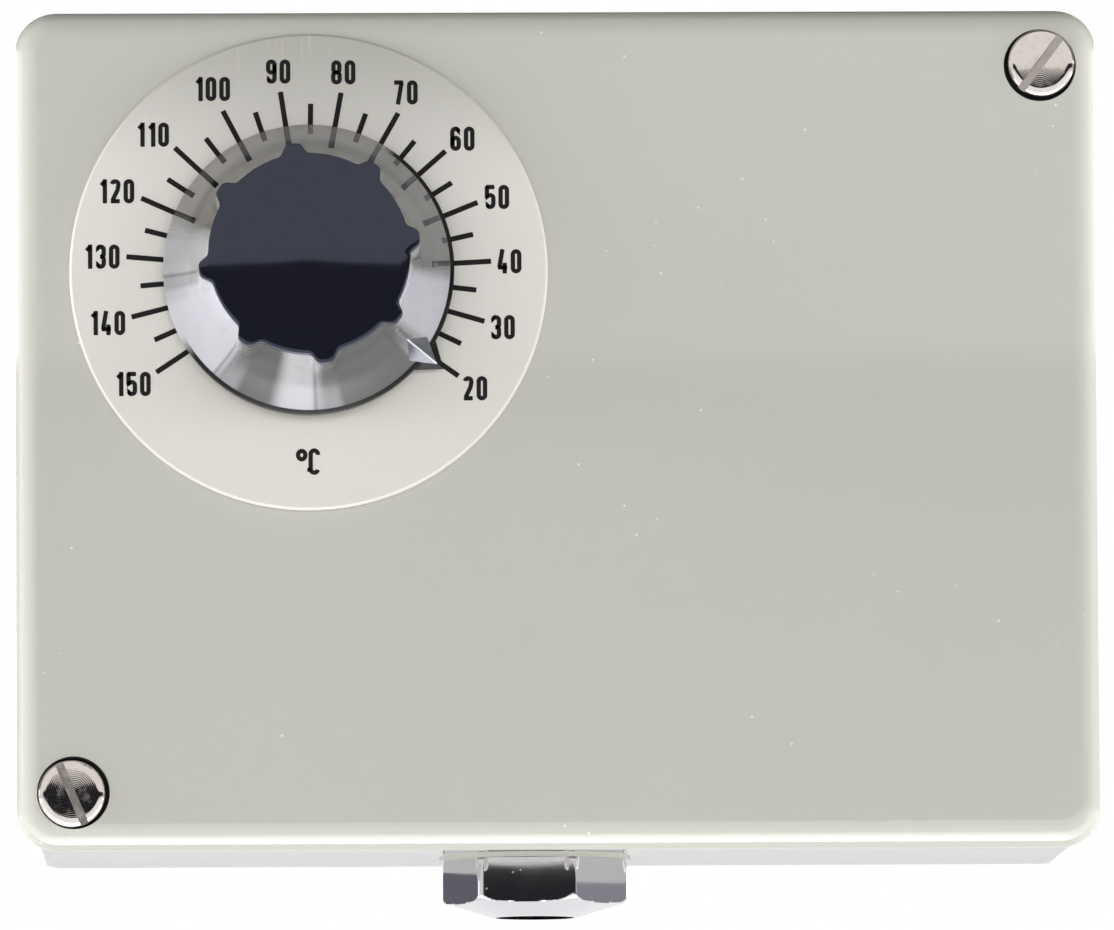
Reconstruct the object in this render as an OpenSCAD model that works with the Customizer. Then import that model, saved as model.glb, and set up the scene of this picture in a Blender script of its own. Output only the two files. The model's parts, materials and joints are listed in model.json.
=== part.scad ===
// Immersion thermostat: a cast case with a setting knob in front and a sensor pocket behind.
// X points right, Y points back and Z points up. The origin is on the pocket's axis, where
// its sealing washer meets the pipe boss that it screws into.

/* [Case] */
// Width of the case
body_w = 130; // [124:1:160]
// Height of the case
body_h = 100.8; // [98:0.2:125]
// Depth of the front cover, front face to seam
cover_depth = 9; // [8.5:0.5:12]
// Depth of the rear half, seam to rear face
base_depth = 33; // [33:0.5:42]
// Corner radius seen from the front
corner_r = 5; // [4:0.5:8]
// Radius along the cover's front edges
edge_r = 3.2; // [1.5:0.1:3.6]
// Radius along the rear half's back edges
back_edge_r = 1.2; // [0.5:0.1:2]
// Thickness of the side and rear walls
wall = 3; // [2.5:0.1:3.5]
// Thickness of the cover's front wall
front_wall = 2.5; // [2:0.1:3]
// Height of the case's centre above the pocket's axis
stem_below_centre = 20; // [16:1:24]
// Width of the gasket in the seam
gasket_w = 1.3; // [1:0.1:1.6]
// Depth of the gasket in the seam
gasket_t = 1.2; // [1:0.1:1.6]

/* [Cover screws] */
// Distance of a cover screw from the two nearest edges
screw_inset = 6.9; // [6.2:0.1:9]
// Thread diameter of the cover screws
screw_d = 5; // [4:0.5:5]
// Head diameter of the cover screws
screw_head_d = 8.3; // [7:0.1:8.5]
// Head height of the cover screws
screw_head_h = 3.3; // [2.6:0.1:3.5]
// How far a head stands out of the cover
screw_proud = 0.8; // [0:0.1:1.2]
// Slot width in the cover screws
screw_slot = 1; // [0.8:0.1:1.2]

/* [Dial and knob] */
// Distance of the dial's axis from the left edge
dial_from_left = 35.2; // [35:0.1:40]
// Distance of the dial's axis from the top edge
dial_from_top = 31.6; // [30.5:0.1:36]
// Diameter of the dial plate
dial_d = 57.3; // [50:0.1:60]
// Thickness of the dial plate
dial_t = 1; // [0.8:0.1:1.5]
// Height of the knob above the dial
knob_h = 22; // [18:0.5:28]
// Diameter of the knob's skirt
skirt_d = 34.8; // [32:0.1:40]
// Diameter of the knob's grip between the lobes
grip_d = 24.1; // [22:0.1:27]
// Diameter over the lobes at the top
lobe_over_d = 26.6; // [24:0.1:30]
// Radius of one lobe
lobe_r = 1.84; // [1.4:0.02:2.2]
// Number of lobes round the grip
lobe_count = 8; // [6:1:10]
// Wall thickness of the clear knob
knob_wall = 2; // [1.6:0.1:2.6]
// Direction of the pointer at rest, measured from the right
pointer_angle = -36.5; // [-40:0.5:-30]
// How far the pointer's tip is from the axis
pointer_reach = 19.6; // [18.5:0.1:22]

/* [Setting mechanism] */
// Diameter of the setting spindle
spindle_d = 6; // [5:0.5:6]
// Advance of the range nut in one turn
thread_lead = 3; // [1.5:0.5:4]
// Wire diameter of the range spring
spring_wire = 1.2; // [0.8:0.1:1.3]
// Mean radius of the range spring
spring_mean_r = 4.3; // [4.2:0.1:4.8]
// Turns of the range spring
spring_turns = 4.5; // [3.5:0.5:5]
// Thickness of the frame's sheet
plate_t = 2; // [1.5:0.1:2]
// Distance from the lever's hinge to the spindle's axis
lever_arm = 25.5; // [24.5:0.5:26.5]
// Distance from the lever's hinge to the switch plunger
switch_arm = 55; // [52:0.5:58]
// Thickness of the lever
lever_t = 2; // [1.6:0.1:2.4]
// Diameter of the lever's hinge pin
hinge_d = 3; // [2.5:0.1:3.2]
// Diameter of the diaphragm capsule
capsule_d = 36; // [30:0.5:37]
// Length of the snap switch
switch_len = 30; // [28:0.5:36]
// Height of the snap switch
switch_h = 13; // [12:0.5:14]
// Depth of the snap switch
switch_dep = 12; // [11:0.5:12.5]

/* [Pocket and sensor] */
// Length of the pocket behind its seat
stem_len = 120; // [80:1:200]
// Wall thickness of the pocket's tube
stem_wall = 1; // [0.8:0.1:1.5]
// Outer diameter of the pipe thread
pipe_d = 20.955; // [20.9:0.005:21]
// Length of the pipe thread
pipe_len = 14; // [12:0.5:18]
// Hexagon across flats
pocket_af = 27; // [24:0.5:30]
// Hexagon length
pocket_hex_len = 10; // [8:0.5:12]
// Room for the sealing washer between the hexagon and the thread
washer_room = 1.5; // [1:0.1:2]
// Diameter of the sensor bulb
bulb_d = 7; // [5.8:0.1:8.4]
// Clearance all round the bulb in the pocket
bulb_gap = 0.5; // [0.3:0.1:0.8]
// Length of the sensor bulb
bulb_len = 80; // [40:1:85]
// Diameter of the capillary
capillary_d = 1.6; // [1.4:0.1:2]

/* [Cable entry] */
// Distance of the gland from the case's centre line, to the left
gland_left = 2.6; // [0:0.1:6]
// Distance of the gland's axis behind the cover's front face
gland_back = 23; // [22.5:0.1:24]
// Width of the gland nut's shoulder outside its thread
gland_shoulder = 2.2; // [1.8:0.1:2.6]
// Height of the gland nut below the case
gland_h = 7.2; // [6:0.1:9]
// Bore for the cable
gland_bore = 9.5; // [7:0.1:10]
// Wall thickness of the gland's threaded shank
gland_wall = 2.85; // [2:0.05:2.9]
// Turn of the gland nut about its axis
gland_turn = 6.8; // [0:0.1:30]

/* [Terminals] */
// Number of poles
pole_count = 4; // [3:1:4]
// Distance from pole to pole
pole_pitch = 8; // [7:0.5:8]
// Height of the terminal block
block_h = 20; // [18:0.5:22]
// Depth of the terminal block
block_dep = 15; // [13:0.5:16]

/* [Hidden] */
$fn = 48;

// Clearances: a running fit, a screw in its tapped hole, and a face near its seat
run_gap = 0.05;
tap_gap = 0.05;
seat_gap = 0.1;
air_gap = 0.2;
// Overlap that joins the features of one piece
weld = 0.5;
// How far a cutting tool runs past a face
over = 1;

// Planes of the case along Y
seat_boss_t = 1;
rear_y = -washer_room - pocket_hex_len - seat_boss_t;
seam_y = rear_y - base_depth;
front_y = seam_y - cover_depth;
inner_rear_y = rear_y - wall;
inner_front_y = front_y + front_wall;

// Edges of the case along X and Z
case_z = stem_below_centre;
left_x = -body_w / 2;
right_x = body_w / 2;
top_z = case_z + body_h / 2;
bottom_z = case_z - body_h / 2;
screw_places = [[right_x - screw_inset, top_z - screw_inset],
                [left_x + screw_inset, bottom_z + screw_inset]];
screw_slot_angles = [53, -67];

// Cover screw seats
head_bore_r = screw_head_d / 2 + 0.2;
seal_ring_t = 0.6;
head_seat_y = front_y - screw_proud + screw_head_h;
cover_boss_r = head_bore_r + 1.4;
column_r = screw_d / 2 + 2.8;
screw_bite = 11;

// Spindle axis and the planes of the mechanism, from the rear wall forward
spindle_x = left_x + dial_from_left;
spindle_z = top_z - dial_from_top;
post_len = 4;
plate_rear_y = inner_rear_y - post_len;
plate_y = plate_rear_y - plate_t;
capsule_t = 5.5;
capsule_front_y = plate_y - capsule_t;
pin_disc_t = 1.4;
pin_len = 3.1;
pin_tip_y = capsule_front_y - seat_gap - pin_len;
lever_rear_y = pin_tip_y - air_gap;
lever_front_y = lever_rear_y - lever_t;
hinge_y = (lever_rear_y + lever_front_y) / 2;
hinge_x = spindle_x - lever_arm;
bridge_front_y = inner_front_y + 2.4;
bridge_rear_y = bridge_front_y + plate_t;
bush_rear_y = bridge_rear_y + 1;
collar_t = 1;
nut_t = 3.5;
nut_front_y = bush_rear_y + seat_gap + collar_t + air_gap;
nut_rear_y = nut_front_y + nut_t;
full_turn_deg = 250;
nut_travel = thread_lead * full_turn_deg / 360;
spindle_end_y = nut_rear_y + nut_travel + 1;
spindle_r = spindle_d / 2;

// Frame outline and its webs
web_half = capsule_d / 2 + 2;
web_w = 22;
plunger_in = 7;
flange_in = 7;
frame_left_x = hinge_x - 5;
frame_right_x = hinge_x + switch_arm + switch_len - plunger_in + 4.5;
frame_half_h = web_half + plate_t;
arm_low_z = spindle_z - 13;
arm_high_z = spindle_z + 13;
m3_r = 1.5;
m3_head_r = 2.75;
m3_head_h = 1.8;
m3_slot = 0.8;
post_r = 3.4;
post_inset = 3.6;
frame_posts = [[frame_left_x + post_inset, spindle_z - frame_half_h + post_inset],
               [frame_left_x + post_inset, spindle_z + frame_half_h - post_inset],
               [frame_right_x - post_inset, arm_low_z + post_inset],
               [frame_right_x - post_inset, arm_high_z - post_inset]];
guide_half = 7;
guide_t = 1.2;
guide_len = nut_rear_y + nut_travel - bridge_rear_y + 0.5;
ear_gap = 6.3;
ear_t = 2;
knuckle_r = 3;

// Snap switch
plunger_x = hinge_x + switch_arm;
plunger_r = 1.6;
plunger_out = 1.5;
contact_tip_y = lever_front_y - 2;
plunger_tip_y = contact_tip_y - air_gap;
switch_rear_y = plunger_tip_y - plunger_out;
switch_front_y = switch_rear_y - switch_dep;
switch_left_x = plunger_x - plunger_in;
switch_low_z = spindle_z - switch_h / 2;
switch_holes = [[switch_left_x + 14.5, switch_front_y + 3.2], [switch_left_x + 24, switch_rear_y - 3.2]];
blade_w = 4.8;
blade_t = 0.8;
blade_out = 7;
blade_places = [spindle_z - 4.2, spindle_z, spindle_z + 4.2];
blade_y = switch_front_y + switch_dep / 2;

// Pocket through the rear wall
neck_r = 9;
lock_washer_t = 1;
pocket_nut_t = 4.5;
pocket_nut_af = 24;
neck_end_y = inner_rear_y - lock_washer_t - pocket_nut_t - 1.5;
hex_front_y = rear_y + seat_boss_t;
stem_bore_r = bulb_d / 2 + bulb_gap;
stem_r = stem_bore_r + stem_wall;
stem_end_wall = 2;
bulb_end_y = stem_len - stem_end_wall - 1;
bulb_start_y = bulb_end_y - bulb_len;

// Cable entry
gland_x = -gland_left;
gland_y = front_y + gland_back;
gland_bore_r = gland_bore / 2;
gland_thread_r = gland_bore_r + gland_wall;
gland_flat_r = gland_thread_r + gland_shoulder;
gland_boss_r = gland_thread_r + 2.6;
gland_boss_top_z = bottom_z + 16.5;
gland_shank = 8;
gland_washer_t = 1;
seal_play = 0.3;
gland_seat_r = gland_flat_r / cos(30) + 0.3;
gland_seat_t = 0.3;

// Terminal block
block_len = pole_count * pole_pitch + 2;
lug_len = 6;
block_margin = 2;
block_x = right_x - wall - block_margin - lug_len - block_len;
block_z = bottom_z + 24;
block_post_len = 3;
block_rear_y = inner_rear_y - block_post_len;
block_front_y = block_rear_y - block_dep;
lug_t = 4;
lug_holes = [[block_x - lug_len / 2, block_z + block_h / 2],
             [block_x + block_len + lug_len / 2, block_z + block_h / 2]];
clamp_w = 5;
clamp_h = 8;
clamp_dep = 6;
clamp_z = block_z + 5;
clamp_y = block_front_y + 5;
wire_hole_r = 1.6;
lead_r = 1;

// Earth terminal
earth_at = [gland_x - 19, bottom_z + 13];
earth_r = 2;

// A solid cylinder along Y from y0 to y1
module rod_y(y0, y1, r) {
    translate([0, y0, 0]) rotate([-90, 0, 0]) cylinder(h = y1 - y0, r = r);
}

// A solid cylinder along Z from z0 to z1
module rod_z(z0, z1, r) {
    translate([0, 0, z0]) cylinder(h = z1 - z0, r = r);
}

// A hexagonal bar along Y from y0 to y1, measured across its flats, flats to top and bottom
module hex_y(y0, y1, af) {
    translate([0, y0, 0]) rotate([-90, 0, 0]) cylinder(h = y1 - y0, r = af / 2 / cos(30), $fn = 6);
}

// A profile of [radius, y] points turned about the Y axis
module turned_y(points) {
    rotate([-90, 0, 0]) rotate_extrude() polygon(points);
}

// A sheet from y0 to y0 + t, cut to a flat outline in X and Z
module sheet_y(y0, t) {
    translate([0, y0 + t, 0]) rotate([90, 0, 0]) linear_extrude(height = t) children();
}

// Moves children to an axis parallel to Y, given as [x, z]
module at(place) {
    translate([place[0], 0, place[1]]) children();
}

// Moves children to the spindle's axis
module on_spindle() {
    at([spindle_x, spindle_z]) children();
}

// Knob coordinates: Z out of the dial towards the viewer, X right and Y up
module on_dial() {
    translate([spindle_x, front_y - dial_t, spindle_z]) rotate([90, 0, 0]) children();
}

// A rectangle with round corners, centred
module rounded_rect(w, h, r) {
    square([w - 2 * r, h], center = true);
    square([w, h - 2 * r], center = true);
    for (sx = [-1, 1], sz = [-1, 1])
        translate([sx * (w / 2 - r), sz * (h / 2 - r)]) circle(r = r);
}

// Section of a slab whose two edges at y = 0 are round
module slab_section(span, depth, edge) {
    translate([-span / 2, edge]) square([span, depth - edge]);
    translate([edge - span / 2, 0]) square([span - 2 * edge, depth]);
    for (s = [-1, 1]) translate([s * (span / 2 - edge), edge]) circle(r = edge);
}

// A slab from y = 0 to y = depth with round corners and round edges at y = 0
module round_slab(w, h, depth, corner, edge) {
    across = w - 2 * corner;
    upright = h - 2 * corner;
    translate([-across / 2, 0, 0])
        rotate([0, 90, 0]) linear_extrude(height = across) slab_section(h, depth, edge);
    translate([0, 0, -upright / 2]) linear_extrude(height = upright) slab_section(w, depth, edge);
    for (k = [0 : 3])
        translate([sign(cos(45 + 90 * k)) * across / 2, 0, -sign(sin(45 + 90 * k)) * upright / 2])
        rotate([-90, 90 * k, 0]) rotate_extrude(angle = 90) {
            square([corner - edge, depth]);
            translate([0, edge]) square([corner, depth - edge]);
            translate([corner - edge, edge]) intersection() {
                circle(r = edge);
                translate([0, -edge]) square(edge);
            }
        }
}

// Points of an arc about [cx, cy]
function arc(cx, cy, r, a0, a1, n) =
    [for (i = [0 : n]) let (a = a0 + (a1 - a0) * i / n) [cx + r * cos(a), cy + r * sin(a)]];

// A slotted cheese-head screw along Y with its seat at y = 0 and its head in front
module slotted_screw(head_r, head_h, shank_r, shank_len, slot_w, slot_angle) {
    rim = min(0.6, head_h / 3);
    difference() {
        turned_y(concat([[0, shank_len], [0, -head_h]],
                        arc(head_r - rim, rim - head_h, rim, -90, 0, 4),
                        [[head_r, 0], [shank_r, 0], [shank_r, shank_len - 0.5], [shank_r - 0.5, shank_len]]));
        rotate([0, -slot_angle, 0])
            translate([-head_r - over, -head_h - over, -slot_w / 2])
                cube([2 * head_r + 2 * over, head_h * 0.4 + over, slot_w]);
    }
}

// A vector of unit length
function unit(v) = v / norm(v);

// Normals carried along a path without twist, one for each tangent
function carried(tangents, i, n) =
    i == len(tangents) ? [] :
    let (m = unit(n - (n * tangents[i]) * tangents[i])) concat([m], carried(tangents, i + 1, m));

// A smooth curve through the points, with n steps between each two
function smooth(points, n) =
    let (last = len(points) - 1)
    concat([for (i = [0 : last - 1], k = [0 : n - 1])
        let (p0 = points[max(i - 1, 0)], p1 = points[i], p2 = points[i + 1],
             p3 = points[min(i + 2, last)], t = k / n)
        0.5 * (2 * p1 + (p2 - p0) * t + (2 * p0 - 5 * p1 + 4 * p2 - p3) * t * t
               + (3 * p1 - p0 - 3 * p2 + p3) * t * t * t)],
        [points[last]]);

// A round wire that follows a path, with flat ends
module wire(path, r, sides, first_normal) {
    last = len(path) - 1;
    tangents = [for (i = [0 : last]) unit(path[min(i + 1, last)] - path[max(i - 1, 0)])];
    normals = carried(tangents, 0, first_normal);
    rings = [for (i = [0 : last], k = [0 : sides - 1])
        let (a = 360 * k / sides)
        path[i] + r * (cos(a) * normals[i] + sin(a) * cross(tangents[i], normals[i]))];
    skin = [for (i = [0 : last - 1], k = [0 : sides - 1])
        let (a = i * sides + k, b = i * sides + (k + 1) % sides)
        [a, a + sides, b + sides, b]];
    start = [for (k = [0 : sides - 1]) k];
    end = [for (k = [sides - 1 : -1 : 0]) last * sides + k];
    polyhedron(rings, concat(skin, [start, end]), convexity = 6);
}

// Case

// The outside of the rear half, with round edges at the back
module base_outside() {
    translate([0, rear_y, case_z]) mirror([0, 1, 0])
        round_slab(body_w, body_h, base_depth, corner_r, back_edge_r);
}

// The two columns that take the cover screws, tied to the corner walls
module screw_columns(y0, y1, r) {
    for (p = screw_places) {
        at(p) rod_y(y0, y1, r);
        corner = [p[0] > 0 ? right_x - wall : left_x + wall, p[1] > case_z ? top_z - wall : bottom_z + wall];
        translate([min(p[0], corner[0]), y0, p[1] - r * 0.6])
            cube([abs(corner[0] - p[0]) + weld, y1 - y0, r * 1.2]);
        translate([p[0] - r * 0.6, y0, min(p[1], corner[1]) - (p[1] < case_z ? weld : 0)])
            cube([r * 1.2, y1 - y0, abs(corner[1] - p[1]) + weld]);
    }
}

module base_housing() color([0.75, 0.75, 0.71]) {
    inner_w = body_w - 2 * wall;
    inner_h = body_h - 2 * wall;
    groove_in = (wall - gasket_w) / 2 - seat_gap / 2;
    difference() {
        union() {
            difference() {
                base_outside();
                at([0, case_z]) sheet_y(seam_y - over, inner_rear_y - seam_y + over)
                    rounded_rect(inner_w, inner_h, corner_r - wall / 2);
            }
            screw_columns(seam_y, inner_rear_y + weld, column_r);
            for (p = frame_posts) at(p) rod_y(plate_rear_y, inner_rear_y + weld, post_r);
            for (p = lug_holes) at(p) rod_y(block_rear_y, inner_rear_y + weld, post_r);
            at(earth_at) rod_y(inner_rear_y - 5, inner_rear_y + weld, earth_r + 2.2);
            rod_y(inner_rear_y + weld, hex_front_y, 17);
            // Boss of the cable entry and the web that ties it to the rear wall
            translate([gland_x, gland_y, 0]) rod_z(bottom_z + wall - weld, gland_boss_top_z, gland_boss_r);
            translate([gland_x, gland_y, 0])
                rod_z(bottom_z - gland_seat_t, bottom_z + wall - weld, gland_seat_r);
            translate([gland_x - 3, gland_y, bottom_z + wall - weld])
                cube([6, inner_rear_y - gland_y + weld, gland_boss_top_z - bottom_z - wall - 2]);
            // Ribs that stiffen the top and side walls
            for (x = [spindle_x, (spindle_x + right_x) / 2])
                translate([x - 1, inner_rear_y - 12, top_z - wall - 2]) cube([2, 12 + weld, 2 + weld]);
            translate([right_x - wall - 2, inner_rear_y - 12, case_z - 1]) cube([2 + weld, 12 + weld, 2]);
        }
        // Groove for the gasket
        at([0, case_z]) sheet_y(seam_y - over, gasket_t + seat_gap + over) difference() {
            rounded_rect(body_w - 2 * groove_in, body_h - 2 * groove_in, corner_r - groove_in);
            rounded_rect(body_w - 2 * wall + 2 * groove_in, body_h - 2 * wall + 2 * groove_in,
                         corner_r - wall + groove_in);
        }
        for (p = screw_places) at(p) rod_y(seam_y - over, seam_y + screw_bite + 2, screw_d / 2 + tap_gap);
        for (p = frame_posts) at(p) rod_y(plate_rear_y - over, plate_rear_y + 5, m3_r + tap_gap);
        for (p = lug_holes) at(p) rod_y(block_rear_y - over, block_rear_y + 4.5, m3_r + tap_gap);
        at(earth_at) rod_y(inner_rear_y - 5 - over, inner_rear_y + 1, earth_r + tap_gap);
        rod_y(inner_rear_y - weld - over, hex_front_y + over, neck_r + seat_gap);
        // Tapped entry with a shoulder for the seal
        translate([gland_x, gland_y, 0]) {
            rod_z(bottom_z - over, gland_boss_top_z - 2, gland_thread_r + tap_gap);
            rod_z(bottom_z, gland_boss_top_z + over, gland_bore_r + 0.5);
        }
    }
}

// The outside of the cover, with large round edges in front
module cover_outside() {
    translate([0, front_y, case_z]) round_slab(body_w, body_h, cover_depth, corner_r, edge_r);
}

module front_cover() color([0.76, 0.76, 0.72]) {
    inner_w = body_w - 2 * wall;
    inner_h = body_h - 2 * wall;
    difference() {
        union() {
            difference() {
                cover_outside();
                at([0, case_z]) sheet_y(inner_front_y, cover_depth)
                    rounded_rect(inner_w, inner_h, corner_r - wall / 2);
            }
            screw_columns(inner_front_y - weld, seam_y, cover_boss_r);
            // Ring that stiffens the wall round the spindle hole
            on_spindle() difference() {
                rod_y(inner_front_y - weld, inner_front_y + 1.2, 10);
                rod_y(inner_front_y - weld - over, inner_front_y + 1.2 + over, 8.2);
            }
        }
        on_spindle() rod_y(front_y - over, inner_front_y + over, spindle_r + 0.6);
        on_spindle() rod_y(front_y - over, inner_front_y - 0.4, spindle_r + 2);
        for (p = screw_places) at(p) {
            rod_y(front_y - over, head_seat_y + seal_ring_t, head_bore_r);
            rod_y(front_y - over, seam_y + over, screw_d / 2 + 0.2);
        }
    }
}

module cover_gasket() color([0.12, 0.12, 0.12]) {
    in = (wall - gasket_w) / 2;
    at([0, case_z]) sheet_y(seam_y, gasket_t) difference() {
        rounded_rect(body_w - 2 * in, body_h - 2 * in, corner_r - in);
        rounded_rect(body_w - 2 * wall + 2 * in, body_h - 2 * wall + 2 * in, corner_r - wall + in);
    }
}

module cover_screws() color([0.8, 0.79, 0.76]) {
    for (i = [0, 1])
        translate([screw_places[i][0], head_seat_y, screw_places[i][1]])
            slotted_screw(screw_head_d / 2, screw_head_h, screw_d / 2,
                          seam_y - head_seat_y + screw_bite, screw_slot, screw_slot_angles[i]);
}

module screw_seals() color([0.08, 0.08, 0.08]) {
    for (p = screw_places) at(p) difference() {
        rod_y(head_seat_y, head_seat_y + seal_ring_t, head_bore_r - run_gap);
        rod_y(head_seat_y - over, head_seat_y + seal_ring_t + over, screw_d / 2 + run_gap);
    }
}

// Dial and knob

module dial_plate() color([0.86, 0.85, 0.79]) {
    bevel = 0.3;
    hole_r = spindle_r + 1;
    r = dial_d / 2;
    on_spindle() turned_y([[hole_r, front_y], [hole_r, front_y - dial_t], [r - bevel, front_y - dial_t],
                           [r, front_y - dial_t + bevel], [r, front_y]]);
}

module spindle_seal() color([0.08, 0.08, 0.08]) {
    section = 0.9;
    on_spindle()
        turned_y(arc(spindle_r + run_gap + section, front_y + section + seat_gap, section, 0, 345, 23));
}

// Height of the flare above the skirt follows a power curve from the grip to the rim
rim_low = 0.8;
rim_high = 2.6;
cap_t = 1.6;
flare_power = 2.6;
flare_steps = 12;
grip_top_h = knob_h - cap_t;
function flare_r(h) =
    grip_d / 2 + (skirt_d - grip_d) / 2 * pow((grip_top_h - h) / (grip_top_h - rim_high), flare_power);
function flare(inset, low, high) =
    [for (i = [0 : flare_steps]) let (h = low + (high - low) * i / flare_steps) [flare_r(h) - inset, h]];

hub_r = 5.6;
insert_r = 4.4;
insert_low = 1.5;
insert_high = 15;

// The outline of the grip: a circle with round lobes
module grip_outline() {
    circle(d = grip_d, $fn = 96);
    for (i = [0 : lobe_count - 1])
        rotate(pointer_angle + 360 * i / lobe_count)
            translate([lobe_over_d / 2 - lobe_r, 0]) circle(r = lobe_r);
}

// The raised arrow on the skirt's rim
module pointer() {
    hull() {
        for (p = [[14.2, 1.1], [16.6, 1.9]], s = [-1, 1])
            translate([p[0], s * p[1], rim_low + 0.4]) sphere(r = 0.08, $fn = 8);
        translate([pointer_reach - 0.1, 0, rim_low + 0.4]) sphere(r = 0.08, $fn = 8);
        translate([13.6, 0, rim_high + 2.2]) sphere(r = 0.08, $fn = 8);
        translate([16.2, 0, rim_high + 0.9]) sphere(r = 0.08, $fn = 8);
    }
}

module knob_body() color([0.75, 0.78, 0.8, 0.45]) on_dial() {
    hollow_top = grip_top_h - 5;
    difference() {
        union() {
            rotate_extrude($fn = 96) polygon(concat([[0, rim_low],
                [skirt_d / 2 - 0.3, rim_low], [skirt_d / 2, rim_low + 0.3],
                [skirt_d / 2, rim_high]], flare(0, rim_high, grip_top_h), [[0, grip_top_h]]));
            translate([0, 0, rim_high]) linear_extrude(height = grip_top_h - rim_high) grip_outline();
            rotate(pointer_angle) pointer();
        }
        // Hollow between the hub and the flank
        difference() {
            rotate_extrude() polygon(concat(
                [[0, rim_low - over], [flare_r(rim_high) - knob_wall, rim_low - over]],
                flare(knob_wall, rim_high, hollow_top), [[0, hollow_top]]));
            cylinder(h = hollow_top + over, r = hub_r);
        }
        // Bore for the insert and the pocket for the screw head
        translate([0, 0, -over]) cylinder(h = insert_high + over, r = insert_r + tap_gap);
        translate([0, 0, insert_high - over]) cylinder(h = knob_h, r = 3.2);
    }
}

module knob_insert() color([0.78, 0.66, 0.36]) on_dial() difference() {
    translate([0, 0, insert_low]) cylinder(h = insert_high - insert_low, r = insert_r);
    translate([0, 0, insert_low - over]) cylinder(h = insert_high, r = spindle_r + tap_gap);
    translate([0, 0, insert_low]) cylinder(h = insert_high, r = m3_r + 0.15);
}

module knob_cap() color([0.06, 0.07, 0.12]) on_dial() {
    dome_r = 160;
    reach = asin((lobe_over_d / 2 + over) / dome_r);
    intersection() {
        translate([0, 0, grip_top_h]) linear_extrude(height = cap_t + over) grip_outline();
        rotate_extrude($fn = 96) polygon(concat(
            [[0, grip_top_h - over], [lobe_over_d / 2 + over, grip_top_h - over]],
            arc(0, knob_h - dome_r, dome_r, 90 - reach, 90, 6)));
    }
}

module knob_screw() color([0.7, 0.7, 0.7]) {
    on_spindle() translate([0, front_y - dial_t - insert_high, 0])
        slotted_screw(m3_head_r, m3_head_h, m3_r, 7, m3_slot, 20);
}

// Setting spindle: knob end, running part, collar and thread
module spindle() color([0.72, 0.72, 0.7]) {
    knob_end_y = front_y - dial_t - insert_high + 1;
    on_spindle() difference() {
        turned_y([[0, knob_end_y], [spindle_r - 0.4, knob_end_y], [spindle_r, knob_end_y + 0.4],
                  [spindle_r, bush_rear_y + seat_gap], [spindle_r + 1.4, bush_rear_y + seat_gap],
                  [spindle_r + 1.4, bush_rear_y + seat_gap + collar_t],
                  [spindle_r, bush_rear_y + seat_gap + collar_t],
                  [spindle_r, spindle_end_y - 0.5], [spindle_r - 0.5, spindle_end_y], [0, spindle_end_y]]);
        rod_y(knob_end_y - over, knob_end_y + 8, m3_r + tap_gap);
        // Groove for the clip
        difference() {
            rod_y(bridge_front_y - 2.1, bridge_front_y - 1.4, spindle_r + over);
            rod_y(bridge_front_y - 3, bridge_front_y, spindle_r - 0.6);
        }
    }
}

module spindle_clip() color([0.35, 0.35, 0.36]) {
    on_spindle() sheet_y(bridge_front_y - 2.05, 0.6) difference() {
        circle(r = spindle_r + 1.8);
        circle(r = spindle_r - 0.55);
        translate([0, -spindle_r * 0.65]) square([spindle_d * 2, spindle_r * 1.3]);
    }
}

// Setting mechanism

// One web with its inward flange; side is 1 above the spindle's axis and -1 below it
module frame_web(side) {
    web_low = side > 0 ? web_half : -web_half - plate_t;
    flange_low = side > 0 ? web_half - flange_in : -web_half - plate_t;
    translate([spindle_x - web_w / 2, bridge_rear_y, spindle_z + web_low])
        cube([web_w, plate_rear_y - bridge_rear_y, plate_t]);
    translate([spindle_x - web_w / 2, bridge_rear_y, spindle_z + flange_low])
        cube([web_w, plate_t, flange_in + plate_t]);
}

module mechanism_frame() color([0.78, 0.76, 0.68]) {
    difference() {
        union() {
            // Rear plate with its arm to the switch
            sheet_y(plate_y, plate_t) {
                translate([frame_left_x, spindle_z - frame_half_h])
                    square([spindle_x + 20 - frame_left_x, 2 * frame_half_h]);
                translate([spindle_x, arm_low_z]) square([frame_right_x - spindle_x, arm_high_z - arm_low_z]);
            }
            frame_web(1);
            frame_web(-1);
            // Ears of the lever's hinge
            for (s = [-1, 1]) translate([hinge_x, 0, spindle_z + s * (ear_gap + ear_t / 2)]) {
                translate([-3.5, hinge_y, -ear_t / 2]) cube([7, plate_rear_y - hinge_y, ear_t]);
                translate([0, hinge_y, 0]) rod_z(-ear_t / 2, ear_t / 2, 3.5);
            }
            // Tab that carries the switch
            translate([switch_left_x + 2, switch_front_y + 1, switch_low_z - seat_gap - plate_t])
                cube([switch_len - 4, plate_rear_y - switch_front_y - 1, plate_t]);
        }
        for (p = frame_posts) at(p) rod_y(plate_y - over, plate_rear_y + over, m3_r + 0.1);
        on_spindle() rod_y(plate_y - over, plate_rear_y + over, 4.1);
        for (s = [-1, 1]) translate([hinge_x, hinge_y, spindle_z + s * (ear_gap + ear_t / 2)])
            rod_z(-ear_t, ear_t, hinge_d / 2 + run_gap);
        for (p = switch_holes) translate([p[0], p[1], switch_low_z])
            rod_z(-plate_t - over, over, m3_r + tap_gap);
        for (s = [-1, 1]) at([spindle_x, spindle_z + s * (web_half - 3)])
            rod_y(bridge_rear_y - over, bridge_rear_y + plate_t + over, m3_r + tap_gap);
    }
}

module frame_screws() color([0.72, 0.72, 0.72]) {
    for (p = frame_posts) translate([p[0], plate_y, p[1]])
        slotted_screw(m3_head_r, m3_head_h, m3_r, plate_t + 4, m3_slot, 30);
}

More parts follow.
